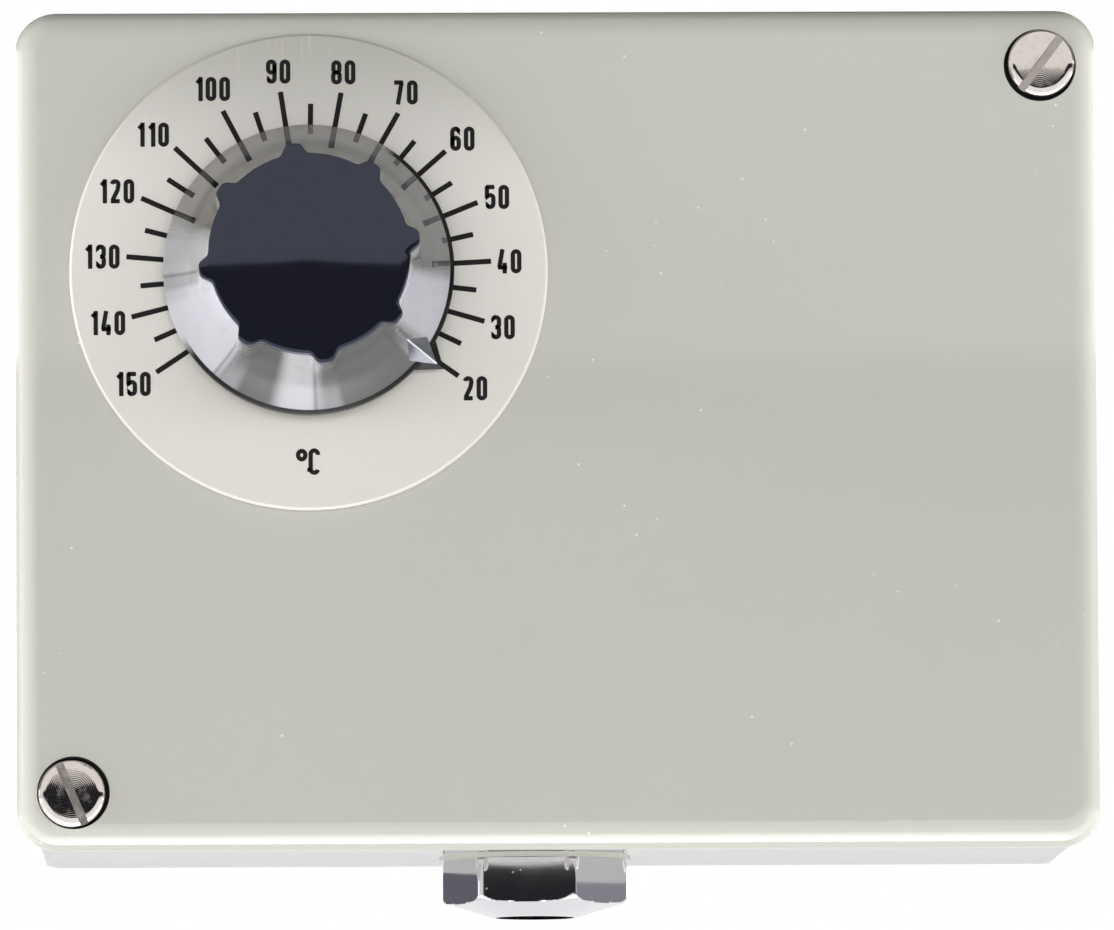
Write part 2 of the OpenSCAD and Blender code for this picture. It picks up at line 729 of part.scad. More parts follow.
module bridge_plate() color([0.78, 0.76, 0.68]) {
    half = web_half + plate_t - 0.5;
    difference() {
        union() {
            on_spindle() sheet_y(bridge_front_y, plate_t) {
                square([web_w, 2 * half], center = true);
            }
            // Two tabs that keep the range nut from turning
            for (s = [-1, 1])
                translate([spindle_x - 5, bridge_front_y,
                           spindle_z + s * (guide_half + seat_gap + guide_t / 2) - guide_t / 2])
                    cube([10, plate_t + guide_len, guide_t]);
        }
        on_spindle() rod_y(bridge_front_y - over, bridge_rear_y + over, 5);
        for (s = [-1, 1]) at([spindle_x, spindle_z + s * (web_half - 3)])
            rod_y(bridge_front_y - over, bridge_rear_y + over, m3_r + 0.1);
    }
}

module bridge_screws() color([0.72, 0.72, 0.72]) {
    for (s = [-1, 1]) translate([spindle_x, bridge_front_y, spindle_z + s * (web_half - 3)])
        slotted_screw(m3_head_r, m3_head_h, m3_r, 2 * plate_t + 1, m3_slot, 75);
}

module spindle_bush() color([0.78, 0.66, 0.36]) {
    on_spindle() turned_y([[spindle_r + run_gap, bridge_front_y - 1.2],
                           [6.5, bridge_front_y - 1.2], [6.5, bridge_front_y],
                           [4.95, bridge_front_y], [4.95, bush_rear_y], [spindle_r + run_gap, bush_rear_y]]);
}

module range_nut() color([0.78, 0.66, 0.36]) {
    on_spindle() difference() {
        translate([-8, nut_front_y, -guide_half]) cube([16, nut_t, 2 * guide_half]);
        rod_y(nut_front_y - over, nut_rear_y + over, spindle_r + run_gap);
    }
}

module range_spring() color([0.55, 0.56, 0.58]) {
    sides = 8;
    steps = 16;
    closed = 0.6;
    y0 = nut_rear_y + seat_gap + spring_wire / 2;
    y1 = lever_front_y - seat_gap - spring_wire / 2;
    total = spring_turns * steps;
    open_turns = spring_turns - 2 * closed;
    path = [for (i = [0 : total])
        let (turn = i / steps, a = 360 * turn, rise = min(max((turn - closed) / open_turns, 0), 1))
        [spring_mean_r * cos(a), y0 + (y1 - y0) * rise, spring_mean_r * sin(a)]];
    on_spindle() wire(path, spring_wire / 2, sides, [1, 0, 0]);
}

// Switching lever on its hinge

module lever() color([0.74, 0.74, 0.72]) {
    tip_x = plunger_x + 4;
    difference() {
        union() {
            sheet_y(lever_front_y, lever_t) {
                polygon([[hinge_x, spindle_z - 5.9], [spindle_x + 8, spindle_z - 5.9],
                         [spindle_x + 14, spindle_z - 4],
                         [tip_x - 1, spindle_z - 4], [tip_x, spindle_z - 3], [tip_x, spindle_z + 3],
                         [tip_x - 1, spindle_z + 4], [spindle_x + 14, spindle_z + 4],
                         [spindle_x + 8, spindle_z + 5.9],
                         [hinge_x, spindle_z + 5.9]]);
                translate([spindle_x, spindle_z]) circle(r = 7);
            }
            translate([hinge_x, hinge_y, spindle_z]) rod_z(-5.9, 5.9, knuckle_r);
            // Seat that centres the spring
            on_spindle()
                rod_y(lever_front_y - 0.8, lever_front_y + weld, spring_mean_r - spring_wire / 2 - 0.3);
        }
        translate([hinge_x, hinge_y, spindle_z]) rod_z(-5.9 - over, 5.9 + over, hinge_d / 2 + run_gap);
        at([plunger_x, spindle_z]) rod_y(lever_front_y - over, lever_rear_y + over, m3_r + tap_gap);
    }
}

module lever_pin() color([0.6, 0.6, 0.62]) {
    half = ear_gap + ear_t + 0.8;
    head = 0.6;
    translate([hinge_x, hinge_y, spindle_z]) rotate_extrude()
        polygon([[0, -half], [hinge_d / 2 - 0.3, -half], [hinge_d / 2, 0.3 - half],
                 [hinge_d / 2, ear_gap + ear_t + seat_gap], [hinge_d / 2 + 0.7, ear_gap + ear_t + seat_gap],
                 [hinge_d / 2 + 0.7, half + head], [0, half + head]]);
}

module contact_screw() color([0.78, 0.66, 0.36]) {
    tail = lever_rear_y + 2.2 + 1.8;
    at([plunger_x, spindle_z]) difference() {
        turned_y([[0, contact_tip_y], [m3_r - 0.5, contact_tip_y], [m3_r, contact_tip_y + 0.5],
                  [m3_r, tail], [0, tail]]);
        translate([-m3_r - over, tail - 0.8, -0.3]) cube([2 * m3_r + 2 * over, 0.8 + over, 0.6]);
    }
}

module contact_nut() color([0.7, 0.7, 0.7]) {
    at([plunger_x, spindle_z]) difference() {
        hex_y(lever_rear_y, lever_rear_y + 2.2, 5.5);
        rod_y(lever_rear_y - over, lever_rear_y + 2.2 + over, m3_r + tap_gap);
    }
}

// Diaphragm capsule, fed by the sensor

module thrust_pin() color([0.7, 0.7, 0.72]) {
    y0 = capsule_front_y - seat_gap;
    on_spindle() turned_y([[0, pin_tip_y], [1.2, pin_tip_y], [1.8, pin_tip_y + 0.5], [1.8, y0 - pin_disc_t],
                           [6, y0 - pin_disc_t], [6, y0], [0, y0]]);
}

capsule_r = capsule_d / 2;
ferrule_angle = 215;
ferrule_y = plate_y - 2.7;
ferrule_dir = [cos(ferrule_angle), sin(ferrule_angle)];
ferrule_reach = capsule_r + 4;
capillary_start = [spindle_x + (ferrule_reach + seat_gap) * ferrule_dir[0], ferrule_y,
                   spindle_z + (ferrule_reach + seat_gap) * ferrule_dir[1]];
shell_t = 1.2;
// Corrugated profile of the diaphragm: three rings between its centre and its rim
function wave(r) = 0.35 * cos(360 * (r - 6.5) / 3);
function diaphragm_line(dy, r0, r1, n) =
    [for (i = [0 : n]) let (r = r0 + (r1 - r0) * i / n)
        [r, capsule_front_y + 0.35 + dy + (r < 6.5 ? -0.35 : -wave(r))]];

module diaphragm() color([0.66, 0.66, 0.68]) {
    t = 0.3;
    out = capsule_r - 1.2;
    n = 22;
    line = diaphragm_line(0, 0, out, n);
    back = diaphragm_line(t, 0, out, n);
    on_spindle() turned_y(concat(line, [for (i = [n : -1 : 0]) back[i]]));
}

module capsule_body() color([0.66, 0.62, 0.5]) {
    rim_y = capsule_front_y - 0.6;
    stud_r = 4;
    stud_end_y = plate_rear_y + 3.4;
    r = capsule_r;
    on_spindle() {
        turned_y([[0, stud_end_y], [stud_r, stud_end_y], [stud_r, plate_y], [r - 4, plate_y],
                  [r, plate_y - 2], [r, rim_y], [r - 1.6, rim_y],
                  [r - 1.6, capsule_front_y - seat_gap], [r - 1, capsule_front_y - seat_gap],
                  [r - 1, capsule_front_y + 1.2], [r - 4, capsule_front_y + 2], [r - 5, plate_y - shell_t],
                  [0, plate_y - shell_t]]);
        // Ferrule that the capillary is brazed into
        rotate([0, -ferrule_angle, 0]) translate([r - 3, ferrule_y, 0]) rotate([0, 90, 0])
            cylinder(h = ferrule_reach - r + 3, r = 1.5);
    }
}

module capsule_nut() color([0.7, 0.7, 0.7]) {
    on_spindle() difference() {
        hex_y(plate_rear_y, plate_rear_y + 2.8, 13);
        rod_y(plate_rear_y - over, plate_rear_y + 2.8 + over, 4 + tap_gap);
    }
}

coil_r = 14;
coil_turns = 2;
coil_at = [spindle_x - 9, spindle_z - 41];

module capillary() color([0.72, 0.5, 0.36]) {
    step = 12;
    per_turn = 360 / step;
    coil_y = inner_rear_y - 6;
    d = capillary_d;
    coil = [for (i = [0 : coil_turns * per_turn]) let (a = -i * step + 100, turn = i / per_turn)
        [coil_at[0] + coil_r * cos(a), coil_y - turn * (d + 0.5), coil_at[1] + coil_r * sin(a)]];
    last = coil[len(coil) - 1];
    out = [ferrule_dir[0], 0, ferrule_dir[1]];
    lead_in = smooth([capillary_start + out, capillary_start + 2 * out,
                      [coil_at[0] - 8, plate_y - 2, coil_at[1] + coil_r + 7],
                      coil[0] + [-5, 0, 0.6], coil[0]], 5);
    lead_out = smooth([last, last + [5, -0.4, -1.2], [-9, neck_end_y - 5.5, 6], [-1.5, neck_end_y - 6, 0.6],
                       [0, neck_end_y - 3, 0], [0, neck_end_y, 0], [0, bulb_start_y, 0]], 5);
    path = concat([capillary_start], [for (i = [0 : len(lead_in) - 2]) lead_in[i]], coil,
                  [for (i = [1 : len(lead_out) - 1]) lead_out[i]]);
    wire(path, d / 2, 8, [0, 1, 0]);
}

module sensor_bulb() color([0.72, 0.5, 0.36]) {
    r = bulb_d / 2;
    turned_y(concat([[0, bulb_start_y], [capillary_d, bulb_start_y], [r, bulb_start_y + 4]],
                    arc(0, bulb_end_y - r, r, 0, 90, 6)));
}

module retaining_plug() color([0.1, 0.1, 0.1]) {
    difference() {
        rod_y(neck_end_y - 1, neck_end_y + 8, stem_bore_r - run_gap);
        rod_y(neck_end_y - 1 - over, neck_end_y + 8 + over, capillary_d / 2 + run_gap);
    }
}

// Immersion pocket and its fastening in the rear wall

module immersion_pocket() color([0.78, 0.68, 0.42]) {
    corner_reach = pocket_af / 2 / cos(30) + 0.2;
    hex_back_y = -washer_room;
    thread_r = pipe_d / 2;
    undercut = 1.2;
    tip_r = stem_r;
    difference() {
        union() {
            intersection() {
                hex_y(hex_front_y, hex_back_y, pocket_af);
                turned_y([[0, hex_front_y], [pocket_af / 2, hex_front_y], [corner_reach, hex_front_y + 1.6],
                          [corner_reach, hex_back_y - 1.6], [pocket_af / 2, hex_back_y], [0, hex_back_y]]);
            }
            turned_y(concat([[0, neck_end_y], [neck_r - 0.8, neck_end_y], [neck_r, neck_end_y + 0.8],
                             [neck_r, hex_front_y + weld], [thread_r - undercut, hex_front_y + weld],
                             [thread_r - undercut, -undercut], [thread_r, 0],
                             [thread_r, pipe_len - undercut], [thread_r - undercut, pipe_len],
                             [tip_r + 1.5, pipe_len], [tip_r, pipe_len + 3]],
                            arc(tip_r - 2, stem_len - 2, 2, 0, 90, 6), [[0, stem_len]]));
        }
        rod_y(neck_end_y - over, stem_len - stem_end_wall, stem_bore_r);
    }
}

module sealing_washer() color([0.72, 0.45, 0.3]) {
    hole_r = pipe_d / 2 + seat_gap;
    turned_y([[hole_r, -washer_room], [pocket_af / 2, -washer_room],
              [pocket_af / 2, -seat_gap], [hole_r, -seat_gap]]);
}

module lock_washer() color([0.6, 0.6, 0.6]) {
    difference() {
        rod_y(inner_rear_y - lock_washer_t, inner_rear_y, pocket_nut_af / 2 + 1);
        rod_y(inner_rear_y - lock_washer_t - over, inner_rear_y + over, neck_r + 0.2);
    }
}

module pocket_nut() color([0.78, 0.66, 0.36]) {
    y1 = inner_rear_y - lock_washer_t;
    difference() {
        hex_y(y1 - pocket_nut_t, y1, pocket_nut_af);
        rod_y(y1 - pocket_nut_t - over, y1 + over, neck_r + tap_gap);
    }
}

// Snap switch

module switch_body() color([0.1, 0.1, 0.1]) {
    difference() {
        translate([switch_left_x, switch_front_y, switch_low_z]) cube([switch_len, switch_dep, switch_h]);
        at([plunger_x, spindle_z]) rod_y(switch_rear_y - 6.5, switch_rear_y + over, plunger_r + run_gap);
        for (p = switch_holes)
            translate([p[0], p[1], switch_low_z]) rod_z(-over, switch_h + over, m3_r + 0.1);
        for (z = blade_places)
            translate([switch_left_x + switch_len - 4, blade_y - blade_w / 2 - run_gap,
                       z - blade_t / 2 - run_gap])
            cube([4 + over, blade_w + 2 * run_gap, blade_t + 2 * run_gap]);
        // Parting line between the case and its cover
        translate([switch_left_x - over, switch_front_y - over, spindle_z - 0.15])
            cube([switch_len + 2 * over, 0.4 + over, 0.3]);
    }
}

module switch_plunger() color([0.75, 0.2, 0.12]) {
    at([plunger_x, spindle_z]) turned_y([[0, switch_rear_y - 3.5], [plunger_r, switch_rear_y - 3.5],
        [plunger_r, plunger_tip_y - 0.5], [plunger_r - 0.5, plunger_tip_y], [0, plunger_tip_y]]);
}

module switch_terminals() color([0.82, 0.72, 0.45]) {
    for (z = blade_places) difference() {
        translate([switch_left_x + switch_len - 4, blade_y - blade_w / 2, z - blade_t / 2])
            cube([4 + blade_out, blade_w, blade_t]);
        translate([switch_left_x + switch_len + blade_out - 2.5, blade_y, z]) rod_z(-over, over, 0.8);
    }
}

module switch_screws() color([0.72, 0.72, 0.72]) {
    for (p = switch_holes) translate([p[0], p[1], switch_low_z + switch_h]) rotate([-90, 0, 0])
        slotted_screw(m3_head_r, m3_head_h, m3_r, switch_h + plate_t + 1, m3_slot, 10);
}

// Terminals

module terminal_block() color([0.82, 0.8, 0.74]) {
    wall_t = 1.2;
    difference() {
        union() {
            translate([block_x, block_front_y + 3, block_z]) cube([block_len, block_dep - 3, block_h]);
            for (i = [0 : pole_count])
                translate([block_x + 1 + i * pole_pitch - wall_t / 2, block_front_y, block_z])
                cube([wall_t, 3 + weld, block_h]);
            translate([block_x - lug_len, block_rear_y - lug_t, block_z + block_h / 2 - 4])
                cube([block_len + 2 * lug_len, lug_t, 8]);
        }
        for (i = [0 : pole_count - 1]) {
            x = block_x + 1 + (i + 0.5) * pole_pitch;
            // Room for the clamp, the screw's well and the wire's way in from both sides
            translate([x - clamp_w / 2 - seat_gap, clamp_y - seat_gap, clamp_z - seat_gap])
                cube([clamp_w + 2 * seat_gap, clamp_dep + 2 * seat_gap, clamp_h + 2 * seat_gap]);
            at([x, clamp_z + clamp_h / 2]) rod_y(block_front_y, clamp_y + over, 2.9);
            translate([x, clamp_y + clamp_dep / 2 + 0.6, 0])
                rod_z(block_z - over, block_z + block_h + over, wire_hole_r);
        }
        for (p = lug_holes) at(p) rod_y(block_rear_y - lug_t - over, block_rear_y + over, m3_r + 0.15);
    }
}

module terminal_clamps() color([0.8, 0.7, 0.42]) {
    for (i = [0 : pole_count - 1]) {
        x = block_x + 1 + (i + 0.5) * pole_pitch;
        difference() {
            translate([x - clamp_w / 2, clamp_y, clamp_z]) cube([clamp_w, clamp_dep, clamp_h]);
            translate([x, clamp_y + clamp_dep / 2 + 0.6, 0])
                rod_z(clamp_z - over, clamp_z + clamp_h + over, wire_hole_r + 0.1);
            at([x, clamp_z + clamp_h / 2]) rod_y(clamp_y - over, clamp_y + 3, m3_r + tap_gap);
        }
    }
}

module terminal_screws() color([0.72, 0.72, 0.72]) {
    for (i = [0 : pole_count - 1])
        translate([block_x + 1 + (i + 0.5) * pole_pitch, clamp_y - 0.4, clamp_z + clamp_h / 2])
            slotted_screw(m3_head_r - 0.1, m3_head_h, m3_r, 2.2, m3_slot, 90 - 25 * i);
}

module block_screws() color([0.72, 0.72, 0.72]) {
    for (p = lug_holes) translate([p[0], block_rear_y - lug_t, p[1]])
        slotted_screw(m3_head_r, m3_head_h, m3_r, lug_t + 4, m3_slot, 45);
}

module switch_leads() color([0.2, 0.3, 0.55]) {
    start_x = switch_left_x + switch_len + blade_out + seat_gap;
    for (i = [0 : 2]) {
        x = block_x + 1 + (i + 0.5) * pole_pitch;
        wire_y = clamp_y + clamp_dep / 2 + 0.6;
        z = blade_places[i];
        out = 3 + 2.5 * i;
        path = smooth([[start_x, blade_y, z], [start_x + out, blade_y, z - 1],
                       [start_x + out + 2, blade_y + 3, z - 8],
                       [x, wire_y, block_z + block_h + 8], [x, wire_y, block_z + block_h + 3],
                       [x, wire_y, block_z + block_h - 1]], 5);
        wire(path, lead_r, 8, [0, 1, 0]);
    }
}

module earth_screw() color([0.75, 0.68, 0.45]) {
    translate([earth_at[0], inner_rear_y - 5 - 1, earth_at[1]]) slotted_screw(3.4, 2.4, earth_r, 5.5, 1, 60);
}

module earth_washer() color([0.8, 0.72, 0.45]) {
    at(earth_at) difference() {
        rod_y(inner_rear_y - 6, inner_rear_y - 5, 4);
        rod_y(inner_rear_y - 6 - over, inner_rear_y - 5 + over, earth_r + 0.1);
    }
}

// Cable entry

module gland_nut() color([0.75, 0.74, 0.74]) {
    corner = gland_flat_r / cos(30);
    seat_z = bottom_z - gland_seat_t;
    low_z = bottom_z - gland_h;
    rim = gland_bore_r + 0.3;
    edge_round = 0.8;
    foot_slope = 17;
    foot_top_z = low_z + (corner - edge_round - rim) * tan(foot_slope);
    translate([gland_x, gland_y, 0]) difference() {
        union() {
            intersection() {
                rotate(gland_turn) translate([0, 0, low_z])
                    cylinder(h = gland_h - gland_seat_t, r = corner, $fn = 6);
                // Low cone under the nut, rounded into its corners
                rotate_extrude() polygon(concat([[0, seat_z], [0, low_z], [rim, low_z]],
                    arc(corner - edge_round, foot_top_z + edge_round, edge_round, foot_slope - 90, 0, 6),
                    [[corner, seat_z - 0.3], [corner - 0.3, seat_z]]));
            }
            rod_z(seat_z - weld, bottom_z + gland_shank, gland_thread_r);
        }
        rod_z(low_z - over, bottom_z + gland_shank + over, gland_bore_r);
    }
}

module gland_washer() color([0.7, 0.7, 0.7]) {
    z0 = bottom_z + gland_shank + seat_gap / 2;
    translate([gland_x, gland_y, 0]) difference() {
        rod_z(z0, z0 + gland_washer_t, gland_thread_r - run_gap);
        rod_z(z0 - over, z0 + gland_washer_t + over, gland_bore_r + seal_play);
    }
}

module gland_seal() color([0.06, 0.06, 0.06]) {
    z0 = bottom_z + gland_shank + gland_washer_t + seat_gap;
    z1 = gland_boss_top_z - 2 - seat_gap;
    translate([gland_x, gland_y, 0]) difference() {
        rod_z(z0, z1, gland_thread_r - run_gap);
        rod_z(z0 - over, z1 + over, gland_bore_r + seal_play);
    }
}

base_housing();
front_cover();
cover_gasket();
cover_screws();
screw_seals();
dial_plate();
spindle_seal();
spindle();
spindle_clip();
knob_body();
knob_insert();
knob_cap();
knob_screw();
mechanism_frame();
frame_screws();
bridge_plate();
bridge_screws();
spindle_bush();
range_nut();
range_spring();
lever();
lever_pin();
contact_screw();
contact_nut();
thrust_pin();
diaphragm();
capsule_body();
capsule_nut();
capillary();
sensor_bulb();
retaining_plug();
immersion_pocket();
sealing_washer();
lock_washer();
pocket_nut();
switch_body();
switch_plunger();
switch_terminals();
switch_screws();
terminal_block();
terminal_clamps();
terminal_screws();
block_screws();
switch_leads();
earth_screw();
earth_washer();
gland_nut();
gland_washer();
gland_seal();
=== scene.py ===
"""Immersion thermostat: the looks of every piece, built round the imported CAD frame.

Lengths in the classes are in millimetres and go to metres when a mesh is made. The row frame has +Z up,
the front towards -Y and +X to the right.
"""
import json
import logging
import math
from dataclasses import dataclass, field
from enum import Enum
from typing import Any, Optional, Sequence, Union

import bmesh
import bpy
import numpy as np
from mathutils import Matrix, Vector


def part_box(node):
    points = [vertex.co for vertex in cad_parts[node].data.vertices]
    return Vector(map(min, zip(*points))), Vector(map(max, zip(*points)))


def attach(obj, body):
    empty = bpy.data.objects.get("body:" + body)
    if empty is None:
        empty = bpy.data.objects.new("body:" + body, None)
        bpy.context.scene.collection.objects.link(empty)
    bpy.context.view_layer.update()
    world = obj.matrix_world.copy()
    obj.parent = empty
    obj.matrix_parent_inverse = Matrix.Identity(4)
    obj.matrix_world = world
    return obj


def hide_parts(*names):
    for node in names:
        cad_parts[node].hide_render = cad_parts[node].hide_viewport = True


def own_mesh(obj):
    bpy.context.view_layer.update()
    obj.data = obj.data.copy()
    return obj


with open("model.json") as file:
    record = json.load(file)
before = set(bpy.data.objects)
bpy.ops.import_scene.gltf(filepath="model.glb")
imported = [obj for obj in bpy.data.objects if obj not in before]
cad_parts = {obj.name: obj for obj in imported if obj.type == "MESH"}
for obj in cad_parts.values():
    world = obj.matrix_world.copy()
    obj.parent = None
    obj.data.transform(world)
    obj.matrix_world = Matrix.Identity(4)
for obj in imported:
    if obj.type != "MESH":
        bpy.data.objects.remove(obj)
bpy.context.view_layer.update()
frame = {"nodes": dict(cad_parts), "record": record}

LOG = logging.getLogger("thermostat")
MM = 0.001
TAU = 2.0 * math.pi
WELD_M = 1e-7
INK_BEVEL = 0.02
NO_LIMIT = 99.0

Number = Union[int, float]
Rgb = tuple[float, float, float]
MADE_MATERIALS: dict[str, bpy.types.Material] = {}


def scaled(colour: Rgb, factor: float) -> Rgb:
    """The colour times a factor, at most white."""
    return tuple(min(1.0, c * factor) for c in colour)


def srgb(red: Number, green: Number, blue: Number) -> Rgb:
    """Linear colour of an 8-bit display colour.

    Args:
        red: red level, 0 to 255.
        green: green level, 0 to 255.
        blue: blue level, 0 to 255.

    Returns:
        The three linear levels, 0 to 1: ((c + 0.055) / 1.055) ** 2.4, or c / 12.92 when dark.
    """
    levels = np.array([red, green, blue], float) / 255.0
    linear = np.where(levels <= 0.04045, levels / 12.92, ((levels + 0.055) / 1.055) ** 2.4)
    return tuple(float(v) for v in linear)


# ------------------------------------------------------------------ shader expressions


class Wire:
    """One output socket, with arithmetic that adds Math nodes to its sheet."""

    def __init__(self, sheet: "NodeSheet", socket: bpy.types.NodeSocket) -> None:
        """Keeps the sheet that the socket's node is on."""
        self.sheet = sheet
        self.socket = socket

    def math(self, operation: str, *others: "Value") -> "Wire":
        """A Math node on this value and up to two more."""
        values = dict(enumerate((self, *others)))
        return self.sheet.node("ShaderNodeMath", {"operation": operation}, values)

    def __add__(self, other: "Value") -> "Wire":
        """This value plus another."""
        return self.math("ADD", other)

    def __sub__(self, other: "Value") -> "Wire":
        """This value less another."""
        return self.math("SUBTRACT", other)

    def __rsub__(self, other: Number) -> "Wire":
        """A number less this value."""
        return self.sheet.node("ShaderNodeMath", {"operation": "SUBTRACT"}, {0: other, 1: self})

    def __mul__(self, other: "Value") -> "Wire":
        """This value times another."""
        return self.math("MULTIPLY", other)

    def __truediv__(self, other: "Value") -> "Wire":
        """This value over another."""
        return self.math("DIVIDE", other)

    __radd__ = __add__

    def step(self, low: Number, high: Number) -> "Wire":
        """Smooth step of this value: 0 below low and 1 above high."""
        return self.sheet.node("ShaderNodeMapRange", {"interpolation_type": "SMOOTHSTEP"},
                               {"Value": self, "From Min": low, "From Max": high})

    def largest(self, other: "Value") -> "Wire":
        """The larger of this value and another."""
        return self.math("MAXIMUM", other)

    def wave(self, turns: Number) -> "Wire":
        """Sine of this value at so many turns for each unit, from 0 to 1."""
        return (self * (turns * TAU)).math("SINE") * 0.5 + 0.5


Value = Union[Wire, Number, Sequence[float]]


class NodeSheet:
    """The node tree of one material or of the world, with one way to add a node."""

    def __init__(self, tree: bpy.types.NodeTree) -> None:
        """Empties the tree that it will fill."""
        self.tree = tree
        tree.nodes.clear()

    def node(self, kind: str, settings: dict[str, Any], inputs: dict[Union[str, int], Value],
             out: Union[str, int] = 0) -> Wire:
        """Adds a node of any type.

        Args:
            kind: the node's type, such as ShaderNodeTexNoise.
            settings: its own settings, set first.
            inputs: the value or the wire of each socket, by name or number.
            out: the output that the returned wire carries.

        Returns:
            The wire from that output.
        """
        made = self.tree.nodes.new(kind)
        for key, value in settings.items():
            setattr(made, key, value)
        for key, value in inputs.items():
            if isinstance(value, Wire):
                self.tree.links.new(value.socket, made.inputs[key])
            else:
                made.inputs[key].default_value = value
        return Wire(self, made.outputs[out]) if made.outputs else Wire(self, None)

    def place(self, shift: Sequence[float] = (0, 0, 0), turn: Sequence[float] = (0, 0, 0),
              stretch: Sequence[float] = (1, 1, 1)) -> Wire:
        """Object coordinates in metres, shifted, turned and stretched by a Mapping node.

        Args:
            shift: metres added along x, y and z.
            turn: turn about x, y and z, in radians.
            stretch: factors along x, y and z.

        Returns:
            The wire of the changed coordinates.
        """
        source = self.node("ShaderNodeTexCoord", {}, {}, "Object")
        return self.node("ShaderNodeMapping", {}, {"Vector": source, "Location": shift, "Rotation": turn,
                                                   "Scale": stretch})

    def attribute(self, name: str) -> Wire:
        """A mesh's own vector attribute."""
        return self.node("ShaderNodeAttribute", {"attribute_name": name}, {}, "Vector")

    def split(self, vector: Wire) -> tuple[Wire, Wire, Wire]:
        """The three parts of a vector."""
        parts = self.node("ShaderNodeSeparateXYZ", {}, {0: vector}, 0).socket.node
        return tuple(Wire(self, parts.outputs[i]) for i in range(3))

    def ray_kinds(self) -> tuple[Wire, Wire]:
        """Whether a ray is the camera's own, also through clear parts, and whether it is a reflection.

        Returns:
            Two wires, each 0 or 1.
        """
        path = self.node("ShaderNodeLightPath", {}, {}).socket.node
        camera, clear, glossy = (Wire(self, path.outputs[f"Is {kind} Ray"])
                                 for kind in ("Camera", "Transmission", "Glossy"))
        return camera.largest(clear), glossy

    def noise(self, where: Wire, size_mm: float, detail: float = 3.0) -> Wire:
        """Noise whose features are about size_mm across, from 0 to 1."""
        return self.node("ShaderNodeTexNoise", {}, {"Vector": where, "Scale": 1.0 / (size_mm * MM),
                                                    "Detail": detail, "Roughness": 0.5})

    def cells(self, where: Wire, size_mm: float) -> Wire:
        """Distance to the nearest of points scattered about size_mm apart, in cell widths."""
        return self.node("ShaderNodeTexVoronoi", {"feature": "F1"},
                         {"Vector": where, "Scale": 1.0 / (size_mm * MM), "Randomness": 1.0}, "Distance")

    def blend(self, low: Value, high: Value, amount: Value) -> Wire:
        """A colour that goes from low to high as amount goes from 0 to 1."""
        colours = [v if isinstance(v, Wire) else (*v, 1.0) for v in (low, high)]
        return self.node("ShaderNodeMix", {"data_type": "RGBA"}, {0: amount, 6: colours[0], 7: colours[1]}, 2)

    def bump(self, height: Wire, depth_mm: float) -> Wire:
        """The normal of a surface raised by height times depth_mm."""
        return self.node("ShaderNodeBump", {}, {"Height": height, "Distance": depth_mm * MM, "Strength": 1.0})


# ------------------------------------------------------------------ finishes


@dataclass(frozen=True)
class Finish:
    """A surface finish: a name, a base colour and a gloss, made into a material once."""

    name: str
    colour: Rgb
    roughness: float
    metallic: float = 0.0
    ior: float = 1.5
    tint: Rgb = (1.0, 1.0, 1.0)

    def sockets(self, sheet: NodeSheet) -> dict[str, Value]:
        """What the finish puts on the shader's sockets."""
        return {"Base Color": (*self.colour, 1.0), "Roughness": self.roughness}

    def material(self) -> bpy.types.Material:
        """The material, made at its first use.

        Returns:
            The material with this finish's name.
        """
        if self.name in MADE_MATERIALS:
            return MADE_MATERIALS[self.name]
        made = bpy.data.materials.new(self.name)
        MADE_MATERIALS[self.name] = made
        made.use_nodes = True
        sheet = NodeSheet(made.node_tree)
        sheet.node("ShaderNodeOutputMaterial", {}, {"Surface": self.surface(sheet)})
        return made

    def surface(self, sheet: NodeSheet) -> Wire:
        """The shader that the material shows.

        Args:
            sheet: the material's node tree.

        Returns:
            The shader's wire.
        """
        inputs: dict[str, Value] = {"Metallic": self.metallic, "IOR": self.ior,
                                    "Specular Tint": (*self.tint, 1.0)}
        inputs.update(self.sockets(sheet))
        return sheet.node("ShaderNodeBsdfPrincipled", {}, inputs)


@dataclass(frozen=True)
class Flecks:
    """Scattered small marks: their spacing in mm, their size in cells, and the areas that have them."""

    spacing: float
    size: tuple[float, float]
    area: float
    cover: tuple[float, float]

    def share(self, sheet: NodeSheet, spots: Wire, areas: Wire) -> Wire:
        """How much of a mark shows: 1 at a point of the pattern that lies in an area, else 0."""
        near = 1.0 - sheet.cells(spots, self.spacing).step(*self.size)
        return near * sheet.noise(areas, self.area, 1.0).step(*self.cover)


